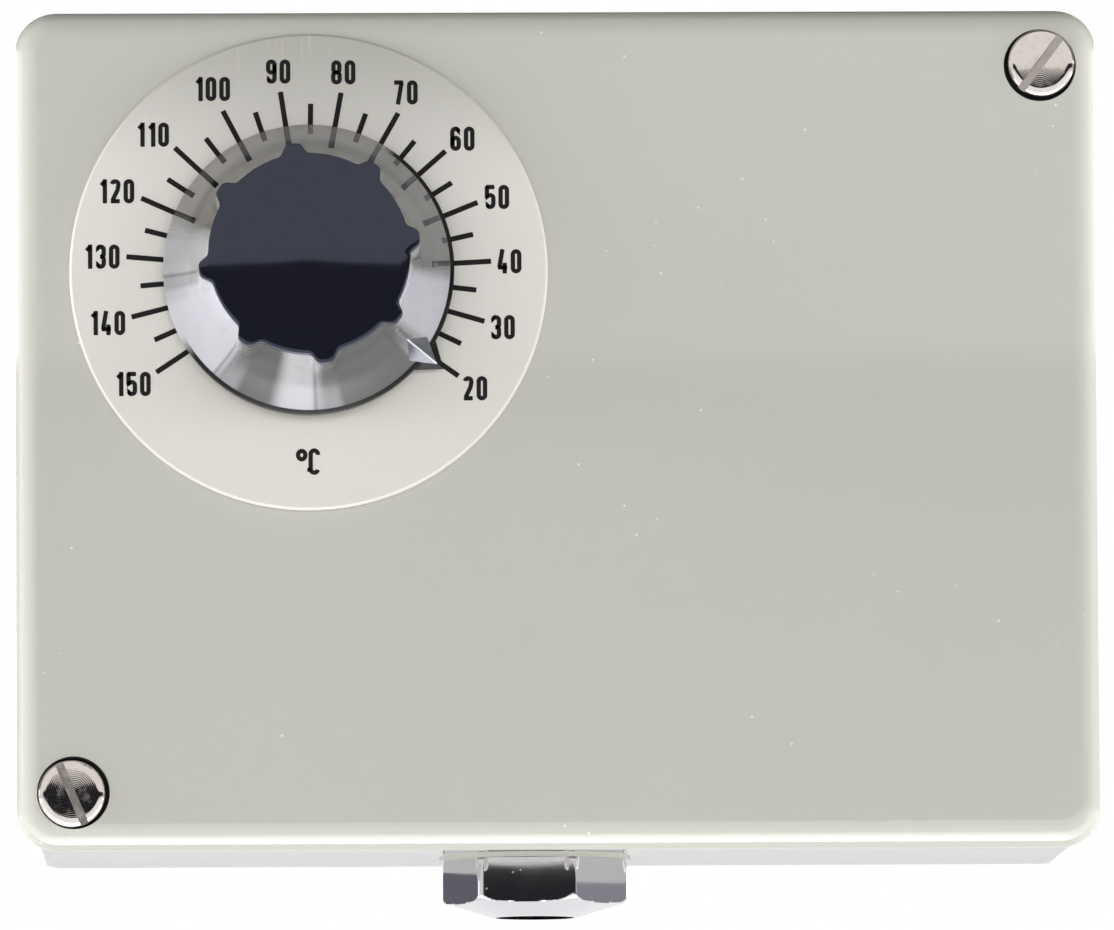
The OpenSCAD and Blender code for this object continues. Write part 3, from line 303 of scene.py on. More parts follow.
@dataclass(frozen=True)
class PaintedCasting(Finish):
    """Glossy stoving paint over a casting: slow colour drift, dust nibs, fine scratches and a faint flow."""

    nibs: Flecks = Flecks(3.4, (0.028, 0.060), 23.0, (0.53, 0.57))
    nib_tone: float = 1.45
    scratches: Flecks = Flecks(5.25, (0.014, 0.030), 31.0, (0.52, 0.56))
    scratch_tone: float = 0.90
    scratch_slant: float = 0.9
    scratch_stretch: float = 0.07
    drift_size: float = 60.0
    flow_size: float = 4.0
    relief: float = 0.0015

    def sockets(self, sheet: NodeSheet) -> dict[str, Value]:
        """Paint colour with drift, pale nibs and short dull scratches, over a nearly flat gloss.

        Args:
            sheet: the material's node tree.

        Returns:
            The value or the wire of each socket that it sets.
        """
        where = sheet.place()
        slanted = sheet.place(turn=(0.0, self.scratch_slant, 0.0), stretch=(1.0, 1.0, self.scratch_stretch))
        drift = sheet.noise(where, self.drift_size, 2.0)
        nibs = self.nibs.share(sheet, where, where)
        scratch = self.scratches.share(sheet, slanted, where)
        colour = sheet.blend(scaled(self.colour, 0.985), scaled(self.colour, 1.015), drift)
        colour = sheet.blend(colour, scaled(self.colour, self.nib_tone), nibs)
        colour = sheet.blend(colour, scaled(self.colour, self.scratch_tone), scratch * 0.6)
        height = sheet.noise(where, self.flow_size, 2.0) * 0.4 + nibs * 1.6 - scratch
        return {"Base Color": colour, "Roughness": self.roughness + scratch * 0.3 + drift * 0.01,
                "Normal": sheet.bump(height, self.relief)}


@dataclass(frozen=True)
class OpalPlate(Finish):
    """Opal plastic dial plate with painted shade at its top and painted light at its bottom, and fine upright
    hairlines.
    """

    centre: Sequence[float] = (0.0, 0.0, 0.0)
    # painted shade for the plate's top and painted light for its bottom
    shade: Rgb = srgb(170, 169, 162)
    glow: Rgb = srgb(209, 206, 199)
    radius: float = 28.6
    glow_edge: tuple[float, float] = (-0.75, 0.10)
    shade_edge: tuple[float, float] = (0.31, 1.03)
    lean_up: float = 0.98
    lean_right: float = 0.05
    hair_size: float = 0.35
    hair_stretch: float = 0.03
    hair_edge: tuple[float, float] = (0.62, 0.72)
    hair_relief: float = 0.0015
    mottle_size: float = 14.0

    def sockets(self, sheet: NodeSheet) -> dict[str, Value]:
        """Plate colour from painted shade at the top to painted light at the bottom, with hairlines.

        Args:
            sheet: the material's node tree.

        Returns:
            The value or the wire of each socket that it sets.
        """
        x, _, z = sheet.split(sheet.place(shift=[-c * MM for c in self.centre]))
        lean = (z * self.lean_up + x * self.lean_right) / (self.radius * MM)
        # painted light low on the plate, then painted shade high on it
        colour = sheet.blend(self.glow, self.colour, lean.step(*self.glow_edge))
        colour = sheet.blend(colour, self.shade, lean.step(*self.shade_edge))
        hair = sheet.noise(sheet.place(stretch=(1.0, 1.0, self.hair_stretch)), self.hair_size, 2.0)
        mottle = sheet.noise(sheet.place(), self.mottle_size, 2.0)
        soil = hair.step(*self.hair_edge) * 0.25 + mottle * 0.10
        colour = sheet.blend(colour, scaled(self.colour, 0.93), soil)
        return {"Base Color": colour, "Roughness": self.roughness + hair * 0.08,
                "Normal": sheet.bump(hair, self.hair_relief)}


@dataclass(frozen=True)
class PrintInk(Finish):
    """Screen-printed ink, slightly uneven."""

    grain_size: float = 0.25
    grain_relief: float = 0.004
    pinholes: tuple[float, float] = (0.55, 0.8)
    pinhole_tone: float = 1.6
    gloss: float = 0.18

    def sockets(self, sheet: NodeSheet) -> dict[str, Value]:
        """Ink colour with small pinholes of grey.

        Args:
            sheet: the material's node tree.

        Returns:
            The value or the wire of each socket that it sets.
        """
        grain = sheet.noise(sheet.place(), self.grain_size)
        colour = sheet.blend(self.colour, scaled(self.colour, self.pinhole_tone), grain.step(*self.pinholes))
        return {"Base Color": colour, "Roughness": self.roughness + grain * 0.1,
                "Specular IOR Level": self.gloss, "Normal": sheet.bump(grain, self.grain_relief)}


@dataclass(frozen=True)
class ClearMoulding(Finish):
    """Clear moulded plastic with a slightly wavy skin and a few fine marks."""

    wave_size: float = 6.0
    wave_relief: float = 0.004
    mark_size: float = 0.6
    mark_stretch: float = 0.2
    mark_edge: tuple[float, float] = (0.66, 0.78)

    def sockets(self, sheet: NodeSheet) -> dict[str, Value]:
        """Full transmission, with the moulding's faint waviness.

        Args:
            sheet: the material's node tree.

        Returns:
            The value or the wire of each socket that it sets.
        """
        wave = sheet.noise(sheet.place(), self.wave_size, 1.0)
        marks = sheet.noise(sheet.place(stretch=(1.0, 1.0, self.mark_stretch)), self.mark_size, 2.0)
        return {"Base Color": (*self.colour, 1.0), "Roughness": marks.step(*self.mark_edge) * 0.06,
                "Transmission Weight": 1.0, "Normal": sheet.bump(wave, self.wave_relief)}


@dataclass(frozen=True)
class Sheen:
    """A painted sheen on a clear moulding: a milky or silvery patch whose colour stands in for the light that
    its flank turns back.
    """

    angle: float
    spread: float
    soft: float
    colour: Rgb
    strength: float

    def share(self, turn: Wire) -> Wire:
        """How much of it shows at a direction in radians: a smooth step of the cosine from its middle.

        Args:
            turn: direction round the axis, in radians.

        Returns:
            The share, 0 to 1.
        """
        near = (turn - math.radians(self.angle)).math("COSINE")
        edges = [math.cos(math.radians(self.spread + s * self.soft)) for s in (1.0, -1.0)]
        return near.step(*edges)


@dataclass(frozen=True)
class FlaredMoulding(ClearMoulding):
    """Clear moulding of the flared knob, with painted sheen patches round its axis for the light that its
    flank turns back.

    The painted sheen patches, the painted shade on the rim and the pointer's painted light and shade are
    read from the mesh's turned attribute, so they turn with the knob.
    """

    sheens: tuple[Sheen, ...] = ()
    grip_count: int = 8
    pointer_angle: float = -36.5
    pointer_tip: float = 19.1
    pointer_root: float = 14.5
    rim_radius: float = 16.84
    rim_height: float = 3.0
    # painted shade round the rim's right and lower side
    dark_rim: Sheen = Sheen(-45.0, 103.0, 6.0, srgb(12, 10, 10), 1.0)
    toned_roughness: float = 0.18
    toned_gloss: float = 0.15
    # the pointer's painted shade, painted light and painted highlight
    dull_facet: Rgb = srgb(92, 94, 100)
    pale_facet: Rgb = srgb(172, 174, 184)
    ridge: Rgb = srgb(236, 238, 244)
    facet_turn: tuple[float, float] = (15.4, 16.9)
    tip_slope: float = 0.62
    root_slope: float = 1.05
    # painted reflection wedge and painted shade line below each grip
    wedge_tone: Rgb = (0.40, 0.40, 0.42)
    wedge_width: tuple[float, float] = (0.55, 0.92)
    wedge_reach: tuple[float, float] = (12.6, 16.5)
    line_tone: Rgb = (0.10, 0.10, 0.11)
    line_side: float = 0.72
    line_half: float = 0.14
    line_reach: tuple[float, float] = (0.3, 0.6)
    grip_share: float = 0.55
    grain_tone: Rgb = (0.16, 0.16, 0.16)
    grain_size: float = 1.6
    grain_edge: tuple[float, float] = (0.5, 0.8)

    def surface(self, sheet: NodeSheet) -> Wire:
        """The clear shader, mixed with a glossy shader that carries the painted sheen patches, rim shade and
        pointer highlight, by how much of them shows.

        Args:
            sheet: the material's node tree.

        Returns:
            The shader's wire.
        """
        clear = super().surface(sheet)
        x, y, z = sheet.split(sheet.attribute("turned"))
        reach = (x * x + y * y).math("SQRT")
        turn = y.math("ARCTAN2", x)
        tone, share = self.patches(sheet, turn, reach)
        # painted shade along the rim's right and lower side
        dark = self.dark_rim.share(turn) * reach.step(self.rim_radius, self.rim_radius + 0.1)
        dark = dark * (1.0 - z.step(self.rim_height, self.rim_height + 0.15)) * self.dark_rim.strength
        tone = sheet.blend(tone, self.dark_rim.colour, dark)
        tone, kite = self.pointer_tone(sheet, tone, turn, reach)
        share = share.largest(dark).largest(kite)
        toned = sheet.node("ShaderNodeBsdfPrincipled", {}, {
            "Base Color": tone, "Roughness": self.toned_roughness, "Specular IOR Level": self.toned_gloss})
        return sheet.node("ShaderNodeMixShader", {}, {0: share, 1: clear, 2: toned})

    def patches(self, sheet: NodeSheet, turn: Wire, reach: Wire) -> tuple[Wire, Wire]:
        """The painted sheen patches' tone and how much of them shows, with a painted reflection wedge and a
        painted shade line below each grip.

        Args:
            sheet: the material's node tree.
            turn: direction round the axis, in radians.
            reach: distance from the axis.

        Returns:
            The tone, and its share from 0 to 1.
        """
        tone: Value = self.sheens[0].colour
        share: Optional[Wire] = None
        for sheen in self.sheens:
            part = sheen.share(turn)
            tone = sheet.blend(tone, sheen.colour, part)
            part = part * sheen.strength
            share = part if share is None else share.largest(part)
        # masks below each grip for a painted shade line and a painted reflection wedge
        around = (turn - math.radians(self.pointer_angle)) * self.grip_count
        below = around.math("COSINE")
        aside = (around.math("SINE") + self.line_side).math("ABSOLUTE")
        painted_line_mask = (1.0 - aside.step(0.0, self.line_half)) * below.step(*self.line_reach)
        wedge = below.step(*self.wedge_width) * reach.step(*self.wedge_reach)
        grain = sheet.noise(sheet.attribute("turned"), self.grain_size / MM, 2.0)
        tone = sheet.blend(tone, self.wedge_tone, wedge * self.grip_share)
        tone = sheet.blend(tone, self.line_tone, painted_line_mask * self.grip_share)
        return sheet.blend(tone, self.grain_tone, grain.step(*self.grain_edge) * 0.10), share

    def pointer_tone(self, sheet: NodeSheet, tone: Wire, turn: Wire, reach: Wire) -> tuple[Wire, Wire]:
        """The pointer's facets in painted shade and painted light, with a painted highlight on the crest
        between them, and where they are.

        Args:
            sheet: the material's node tree.
            tone: the tone so far.
            turn: direction round the axis, in radians.
            reach: distance from the axis.

        Returns:
            The new tone, and the pointer's share from 0 to 1.
        """
        offset = turn - math.radians(self.pointer_angle)
        along, across = reach * offset.math("COSINE"), reach * offset.math("SINE")
        aside = across.math("ABSOLUTE")
        room = (self.pointer_tip - along) * self.tip_slope
        room = room.math("MINIMUM", (along - self.pointer_root) * self.root_slope)
        kite = (room - aside).step(0.0, 0.06)
        # the pointer's facets: painted shade, painted light and a painted highlight on the crest
        facets = sheet.blend(self.dull_facet, self.pale_facet, along.step(*self.facet_turn))
        facets = sheet.blend(facets, self.dull_facet, across.step(-0.02, 0.02))
        facets = sheet.blend(self.ridge, facets, aside.step(0.05, 0.14))
        return sheet.blend(tone, facets, kite), kite * 0.9


@dataclass(frozen=True)
class GlossMoulding(Finish):
    """Glossy dark moulding with a few dust specks and hairline marks."""

    specks: Flecks = Flecks(4.5, (0.012, 0.032), 9.0, (0.56, 0.60))
    speck_tone: Rgb = (0.3, 0.3, 0.34)
    wave_size: float = 5.0

    def sockets(self, sheet: NodeSheet) -> dict[str, Value]:
        """Dark colour with scattered pale specks over a smooth gloss.

        Args:
            sheet: the material's node tree.

        Returns:
            The value or the wire of each socket that it sets.
        """
        where = sheet.place()
        specks = self.specks.share(sheet, where, where)
        colour = sheet.blend(self.colour, self.speck_tone, specks * 0.7)
        wave = sheet.noise(where, self.wave_size, 1.0)
        return {"Base Color": colour, "Roughness": self.roughness + specks * 0.3,
                "Normal": sheet.bump(wave * 0.5 + specks * 2.0, 0.002)}


@dataclass(frozen=True)
class SatinMoulding(Finish):
    """Satin moulding or rubber with a fine spark-eroded texture."""

    grain: float = 0.18
    depth: float = 0.01
    drift_size: float = 9.0

    def sockets(self, sheet: NodeSheet) -> dict[str, Value]:
        """Colour with a slow drift and a fine texture in height and gloss.

        Args:
            sheet: the material's node tree.

        Returns:
            The value or the wire of each socket that it sets.
        """
        where = sheet.place()
        texture = sheet.noise(where, self.grain, 2.0)
        drift = sheet.noise(where, self.drift_size, 2.0)
        colour = sheet.blend(scaled(self.colour, 0.9), scaled(self.colour, 1.1), drift)
        return {"Base Color": colour, "Roughness": self.roughness + texture * 0.12,
                "Normal": sheet.bump(texture, self.depth)}


@dataclass(frozen=True)
class BrightPlate(Finish):
    """Bright plated metal: polished, with pits, wipe marks and a little haze."""

    pits: Flecks = Flecks(1.6, (0.03, 0.09), 3.0, (0.55, 0.62))
    wipe_size: float = 0.5
    wipe_slant: float = 0.5
    wipe_stretch: float = 0.12
    haze_size: float = 5.0
    relief: float = 0.003

    def sockets(self, sheet: NodeSheet) -> dict[str, Value]:
        """Metal colour with pits and fine wipe marks in the gloss.

        Args:
            sheet: the material's node tree.

        Returns:
            The value or the wire of each socket that it sets.
        """
        where = sheet.place()
        pits = self.pits.share(sheet, where, where)
        slanted = sheet.place(turn=(0.0, self.wipe_slant, 0.0), stretch=(1.0, 1.0, self.wipe_stretch))
        wipe = sheet.noise(slanted, self.wipe_size)
        haze = sheet.noise(where, self.haze_size)
        colour = sheet.blend(self.colour, scaled(self.colour, 0.6), pits * 0.5 + haze * 0.12)
        return {"Base Color": colour, "Roughness": self.roughness + haze * 0.05 + pits * 0.3,
                "Normal": sheet.bump(wipe * 0.3 - pits, self.relief)}


@dataclass(frozen=True)
class TurnedPlate(Finish):
    """Plated metal with turning marks round its own axis, read from the mesh's turned attribute."""

    pitch: float = 0.22
    relief: float = 0.0011
    wobble_size: float = 1.2
    wobble_depth: float = 0.15
    grime_size: float = 1.5
    grime_edge: tuple[float, float] = (0.45, 0.75)
    # heights over which painted shade grows below the crown
    sunk: tuple[float, float] = (-0.9, -0.15)

    def sockets(self, sheet: NodeSheet) -> dict[str, Value]:
        """Rings of fine grooves by the distance from the axis, with a few scratches, patches of grime, and
        painted shade low down: on the rounded edge, in the slot and down the head's side.

        Args:
            sheet: the material's node tree.

        Returns:
            The value or the wire of each socket that it sets.
        """
        across, along, height = sheet.split(sheet.attribute("turned"))
        reach = (across * across + along * along).math("SQRT")
        wobble = sheet.noise(sheet.place(), self.wobble_size, 2.0) * self.wobble_depth
        rings = (reach + wobble).wave(1.0 / self.pitch)
        grime = sheet.noise(sheet.place(), self.grime_size).step(*self.grime_edge)
        # painted shade low down: on the rounded edge, in the slot and down the head's side
        painted_low_shade = 1.0 - height.step(*self.sunk)
        colour = sheet.blend(self.colour, scaled(self.colour, 0.45), painted_low_shade * 0.35 + grime * 0.12)
        return {"Base Color": colour, "Roughness": self.roughness + grime * 0.10 + painted_low_shade * 0.12,
                "Normal": sheet.bump(rings, self.relief)}


@dataclass(frozen=True)
class WorkedMetal(Finish):
    """Machined, pressed or drawn metal: fine directional lines, tarnish and handling marks."""

    tarnish: Rgb = (0.2, 0.2, 0.2)
    spread: float = 0.35
    stretch: Sequence[float] = (1.0, 0.12, 1.0)
    cloud_size: float = 6.0
    cloud_edge: tuple[float, float] = (0.45, 0.85)
    line_size: float = 0.25
    relief: float = 0.003

    def sockets(self, sheet: NodeSheet) -> dict[str, Value]:
        """Metal colour blended towards its tarnish in cloudy patches, with fine lines.

        Args:
            sheet: the material's node tree.

        Returns:
            The value or the wire of each socket that it sets.
        """
        cloud = sheet.noise(sheet.place(), self.cloud_size, 4.0)
        lines = sheet.noise(sheet.place(stretch=self.stretch), self.line_size, 2.0)
        worn = cloud.step(*self.cloud_edge) * self.spread + lines * 0.08
        colour = sheet.blend(self.colour, self.tarnish, worn)
        return {"Base Color": colour, "Roughness": self.roughness + cloud * 0.15 + lines * 0.06,
                "Normal": sheet.bump(lines, self.relief)}


@dataclass(frozen=True)
class PaleFloor(Finish):
    """Pale studio paper with a faint tooth, lifted to white where the camera or a reflection sees it."""

    seen_glow: Rgb = (0.45, 0.45, 0.45)
    mirrored_glow: Rgb = (0.62, 0.62, 0.64)
    tooth_size: float = 3.0
    gloss: float = 0.2

    def sockets(self, sheet: NodeSheet) -> dict[str, Value]:
        """Paper colour with a very faint mottle, and the glow for each kind of ray.

        Args:
            sheet: the material's node tree.

        Returns:
            The value or the wire of each socket that it sets.
        """
        tooth = sheet.noise(sheet.place(), self.tooth_size, 2.0)
        colour = sheet.blend(self.colour, scaled(self.colour, 0.98), tooth)
        seen, glossy = sheet.ray_kinds()
        shine = sheet.blend((0.0, 0.0, 0.0), self.seen_glow, seen)
        shine = sheet.blend(shine, self.mirrored_glow, glossy)
        return {"Base Color": colour, "Roughness": self.roughness, "Specular IOR Level": self.gloss,
                "Emission Color": shine, "Emission Strength": 1.0}


PAINT = PaintedCasting("painted_casting", (0.508, 0.506, 0.456), 0.02, ior=1.58)
BRIGHT_PLATE = BrightPlate("bright_plate", srgb(206, 204, 206), 0.035, 1.0)
TURNED_PLATE = TurnedPlate("turned_nickel", srgb(214, 208, 202), 0.05, 1.0)
INK = PrintInk("print_ink", srgb(20, 17, 19), 0.5)
CLEAR = ClearMoulding("clear_moulding", (0.985, 0.985, 0.99), 0.0, 0.0, 1.49)
# painted sheen patches of the knob's flank: milky and silvery painted reflections
FLARED = FlaredMoulding("flared_moulding", (0.985, 0.985, 0.99), 0.0, 0.0, 1.49, sheens=(
    Sheen(38.0, 75.0, 24.0, srgb(196, 196, 196), 0.09),
    Sheen(178.0, 14.0, 8.0, srgb(190, 190, 192), 0.55),
    Sheen(209.0, 22.0, 4.0, srgb(194, 194, 201), 0.80),
    Sheen(342.0, 15.0, 5.0, srgb(198, 198, 206), 0.66),
    Sheen(277.0, 46.0, 2.5, srgb(97, 97, 97), 0.96),
    Sheen(265.0, 8.0, 5.0, srgb(190, 190, 194), 0.96)))
CAP_BLACK = GlossMoulding("cap_moulding", srgb(24, 25, 33), 0.03, 0.0, 1.62, (0.70, 0.75, 1.0))
RUBBER = SatinMoulding("black_rubber", srgb(34, 33, 33), 0.6)
ZINC_STEEL = WorkedMetal("zinc_steel", srgb(190, 192, 196), 0.28, 1.0, tarnish=srgb(150, 146, 130))
SPRING_STEEL = WorkedMetal("spring_steel", srgb(120, 122, 126), 0.26, 1.0, tarnish=srgb(80, 76, 74))
BRASS = WorkedMetal("brass", srgb(214, 178, 104), 0.22, 1.0, tarnish=srgb(150, 112, 60), spread=0.45)
DRAWN_BRASS = WorkedMetal("drawn_brass", srgb(206, 172, 104), 0.20, 1.0, tarnish=srgb(142, 108, 62),
                          spread=0.5, stretch=(1.0, 0.05, 1.0))
BRONZE = WorkedMetal("bronze", srgb(192, 146, 98), 0.26, 1.0, tarnish=srgb(130, 92, 60))
COPPER = WorkedMetal("copper", srgb(214, 138, 104), 0.24, 1.0, tarnish=srgb(140, 80, 60), spread=0.5)
SWITCH_CASE = SatinMoulding("switch_case", srgb(46, 44, 44), 0.4)
PLUNGER = SatinMoulding("plunger_moulding", srgb(150, 52, 40), 0.4)
BLOCK = SatinMoulding("terminal_block", srgb(206, 198, 176), 0.42)
LEAD_SLEEVE = SatinMoulding("lead_sleeve", srgb(70, 66, 110), 0.45)
PAPER = PaleFloor("pale_floor", (0.86, 0.86, 0.86), 0.7)

CAD_FINISHES: dict[str, Finish] = {
    "painted_casting": PAINT,
    "dial_enamel": BLOCK,  # the Dial class dresses its plate again
    "cap_plastic": CAP_BLACK,
    "clear_plastic": CLEAR,
    "bright_plate": BRIGHT_PLATE,
    "black_rubber": RUBBER,
    "nickel_plate": ZINC_STEEL,
    "zinc_steel": ZINC_STEEL,
    "spring_steel": SPRING_STEEL,
    "brass": BRASS,
    "bronze": BRONZE,
    "copper": COPPER,
    "switch_plastic": SWITCH_CASE,
    "plunger_plastic": PLUNGER,
    "block_plastic": BLOCK,
    "lead_insulation": LEAD_SLEEVE,
}


# ------------------------------------------------------------------ meshes


@dataclass(frozen=True)
class Seat:
    """Where a piece's own axes lie: its x, y and z as directions of the row frame, and its origin in mm."""

    origin: Sequence[float]
    across: Sequence[float]
    upward: Sequence[float]
    outward: Sequence[float]

    def place(self, points: np.ndarray) -> np.ndarray:
        """Row-frame metres of local points: origin + x across + y upward + z outward."""
        turn = np.array([self.across, self.upward, self.outward], float)
        return (np.asarray(self.origin, float) + points @ turn) * MM


def front_seat(x: float, y: float, z: float) -> Seat:
    """A seat whose z axis comes out of the front."""
    return Seat((x, y, z), (1, 0, 0), (0, 0, 1), (0, -1, 0))


def under_seat(x: float, y: float, z: float) -> Seat:
    """A seat whose z axis goes down."""
    return Seat((x, y, z), (1, 0, 0), (0, -1, 0), (0, 0, -1))


def stem_seat(x: float, y: float, z: float) -> Seat:
    """A seat whose z axis goes along the stem, away from the front."""
    return Seat((x, y, z), (1, 0, 0), (0, 0, -1), (0, 1, 0))


@dataclass
class Shell:
    """Points and faces of one closed surface, in a piece's own axes and millimetres."""

    points: np.ndarray
    faces: list[list[int]]

    @classmethod
    def from_rings(cls, rings: np.ndarray, wrap: bool = False, lids: bool = False) -> "Shell":
        """Joins neighbouring rings with quads.

        Args:
            rings: points [ring, place round it, xyz]; each ring closes on itself.
            wrap: whether the last ring joins the first.
            lids: whether the first and last rings are closed by a flat face.

        Returns:
            The shell; its faces point outwards where the rings run anticlockwise and climb.
        """
        count, around, _ = rings.shape
        index = np.arange(count * around).reshape(count, around)
        rows = np.vstack([index, index[:1]]) if wrap else index
        low, high = rows[:-1], rows[1:]
        quads = np.stack([low, np.roll(low, -1, 1), np.roll(high, -1, 1), high], -1).reshape(-1, 4)
        faces = quads.tolist()
        if lids:
            faces += [index[0, ::-1].tolist(), index[-1].tolist()]
        return cls(rings.reshape(-1, 3), faces)

    @classmethod
    def turned(cls, radius: np.ndarray, height: np.ndarray, angle: np.ndarray, wrap: bool = False) -> "Shell":
        """Rings about z from rows of radii and heights: x = r cos a, y = r sin a, z = h."""
        rings = np.stack([radius * np.cos(angle), radius * np.sin(angle), height + 0.0 * angle], -1)
        return cls.from_rings(rings, wrap)


def linked(name: str, mesh: bpy.types.Mesh, surface: bmesh.types.BMesh, finish: Finish,
           sharp: float) -> bpy.types.Object:
    """Puts a closed surface into a mesh and the mesh into the scene, dressed and smooth between sharp edges.

    Args:
        name: the object's name.
        mesh: the mesh that takes the surface.
        surface: the surface, which this frees.
        finish: its finish.
        sharp: edges that turn by more than this many degrees stay sharp.

    Returns:
        The new object, at the origin.
    """
    bmesh.ops.recalc_face_normals(surface, faces=surface.faces)
    volume = surface.calc_volume(signed=True) / MM ** 3
    LOG.info("%s: %d faces, %.1f cubic mm", name, len(surface.faces), volume)
    surface.to_mesh(mesh)
    surface.free()
    mesh.polygons.foreach_set("use_smooth", np.ones(len(mesh.polygons), bool))
    mesh.set_sharp_from_angle(angle=math.radians(sharp))
    mesh.materials.append(finish.material())
    made = bpy.data.objects.new(name, mesh)
    bpy.context.scene.collection.objects.link(made)
    return made


def make_piece(name: str, shells: Sequence[Shell], seat: Seat, finish: Finish, body: str,
               sharp: float = 40.0) -> bpy.types.Object:
    """Makes one object from closed shells, dresses it and lets it ride.

    Args:
        name: the piece's name.
        shells: its surfaces in the seat's axes.
        seat: where those axes lie.
        finish: its finish.
        body: the CAD body that it moves with.
        sharp: edges that turn by more than this many degrees stay sharp.

    Returns:
        The new object, at the origin, with its place in its mesh.
    """
    offsets = np.cumsum([0] + [len(s.points) for s in shells])
    points = np.concatenate([s.points for s in shells])
    faces = [[int(i) + int(offset) for i in face] for s, offset in zip(shells, offsets) for face in s.faces]
    mesh = bpy.data.meshes.new(name)
    mesh.from_pydata(seat.place(points).tolist(), [], faces)
    local = mesh.attributes.new("turned", "FLOAT_VECTOR", "POINT")
    local.data.foreach_set("vector", points.astype(np.float32).ravel())
    cleaner = bmesh.new()
    cleaner.from_mesh(mesh)
    bmesh.ops.remove_doubles(cleaner, verts=cleaner.verts, dist=WELD_M)
    bmesh.ops.dissolve_degenerate(cleaner, edges=cleaner.edges, dist=WELD_M / 10)
    made = linked(name, mesh, cleaner, finish, sharp)
    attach(made, body)
    return made


# ------------------------------------------------------------------ the dial's print


def arc(x: float, y: float, rx: float, ry: float, start: float, end: float, count: int = 14) -> np.ndarray:
    """Points x + rx cos a, y + ry sin a, for a from start to end degrees."""
    angle = np.radians(np.linspace(start, end, count))
    return np.stack([x + rx * np.cos(angle), y + ry * np.sin(angle)], -1)


def line(*corners: Sequence[float]) -> np.ndarray:
    """The corners of a bent line as an array."""
    return np.array(corners, float)


@dataclass(frozen=True)
class Stroke:
    """The middle line of one stroke of a character, open or closed."""

    path: np.ndarray
    closed: bool = False

    @classmethod
    def bar(cls, *corners: Sequence[float]) -> "Stroke":
        """An open stroke through its corners."""
        return cls(line(*corners))

    @classmethod
    def join(cls, *parts: np.ndarray, closed: bool = False) -> "Stroke":
        """A stroke of arcs and lines laid end to end."""
        return cls(np.vstack(parts), closed)

    def moved(self, x: float, y: float) -> "Stroke":
        """The same stroke elsewhere."""
        return Stroke(self.path + (x, y), self.closed)

    def shell(self, width: float, low: float, high: float, corner: float) -> Shell:
        """A flat bar of ink along the stroke.

        The bar's half width at distance d from an end is w - c + sqrt(c^2 - (c - d)^2) while d < c, so
        its corners are rounded by c; elsewhere it is w. Its section is a low trapezium.

        Args:
            width: the bar's width.
            low: its lower side's height.
            high: its upper side's height.
            corner: the radius of its end corners.

        Returns:
            The closed shell.
        """
        path = self.path
        if not self.closed:
            path = self.with_end_points(corner)
        ahead = np.roll(path, -1, 0) - path
        behind = path - np.roll(path, 1, 0)
        if not self.closed:
            ahead[-1], behind[0] = behind[-1], ahead[0]
        ahead /= np.linalg.norm(ahead, axis=1, keepdims=True)
        behind /= np.linalg.norm(behind, axis=1, keepdims=True)
        middle = ahead + behind
        middle /= np.linalg.norm(middle, axis=1, keepdims=True)
        side = np.stack([-middle[:, 1], middle[:, 0]], -1)
        stretch = 1.0 / np.maximum(0.5, (middle * ahead).sum(1, keepdims=True))
        half = np.full((len(path), 1), width / 2)
        if not self.closed:
            run = np.r_[0.0, np.cumsum(np.linalg.norm(np.diff(path, axis=0), axis=1))]
            reach = np.minimum(run, run[-1] - run)[:, None]
            inside = np.clip(corner - reach, 0.0, corner)
            half = half - corner + np.sqrt(corner ** 2 - inside ** 2)
        offset = side * half * stretch
        bevel = min(INK_BEVEL, high - low)
        inner = side * np.maximum(half - bevel, half * 0.5) * stretch
        rows = [(path + offset, low), (path + offset, high - bevel), (path + inner, high),
                (path - inner, high), (path - offset, high - bevel), (path - offset, low)]
        rings = np.stack([np.c_[flat, np.full(len(flat), z)] for flat, z in rows], 1)
        return Shell.from_rings(rings[:, ::-1], wrap=self.closed, lids=not self.closed)

    def with_end_points(self, corner: float) -> np.ndarray:
        """The open path with extra points near both ends, where its corners are rounded.

        Args:
            corner: the radius of the corners.

        Returns:
            The path's points.
        """
        steps = corner * (1.0 - np.cos(np.linspace(0.0, math.pi / 2, 5)[1:]))
        first = self.path[1] - self.path[0]
        last = self.path[-2] - self.path[-1]
        start = self.path[0] + first / np.linalg.norm(first) * steps[:, None]
        end = self.path[-1] + last / np.linalg.norm(last) * steps[::-1, None]
        return np.vstack([self.path[:1], start, self.path[1:-1], end, self.path[-1:]])


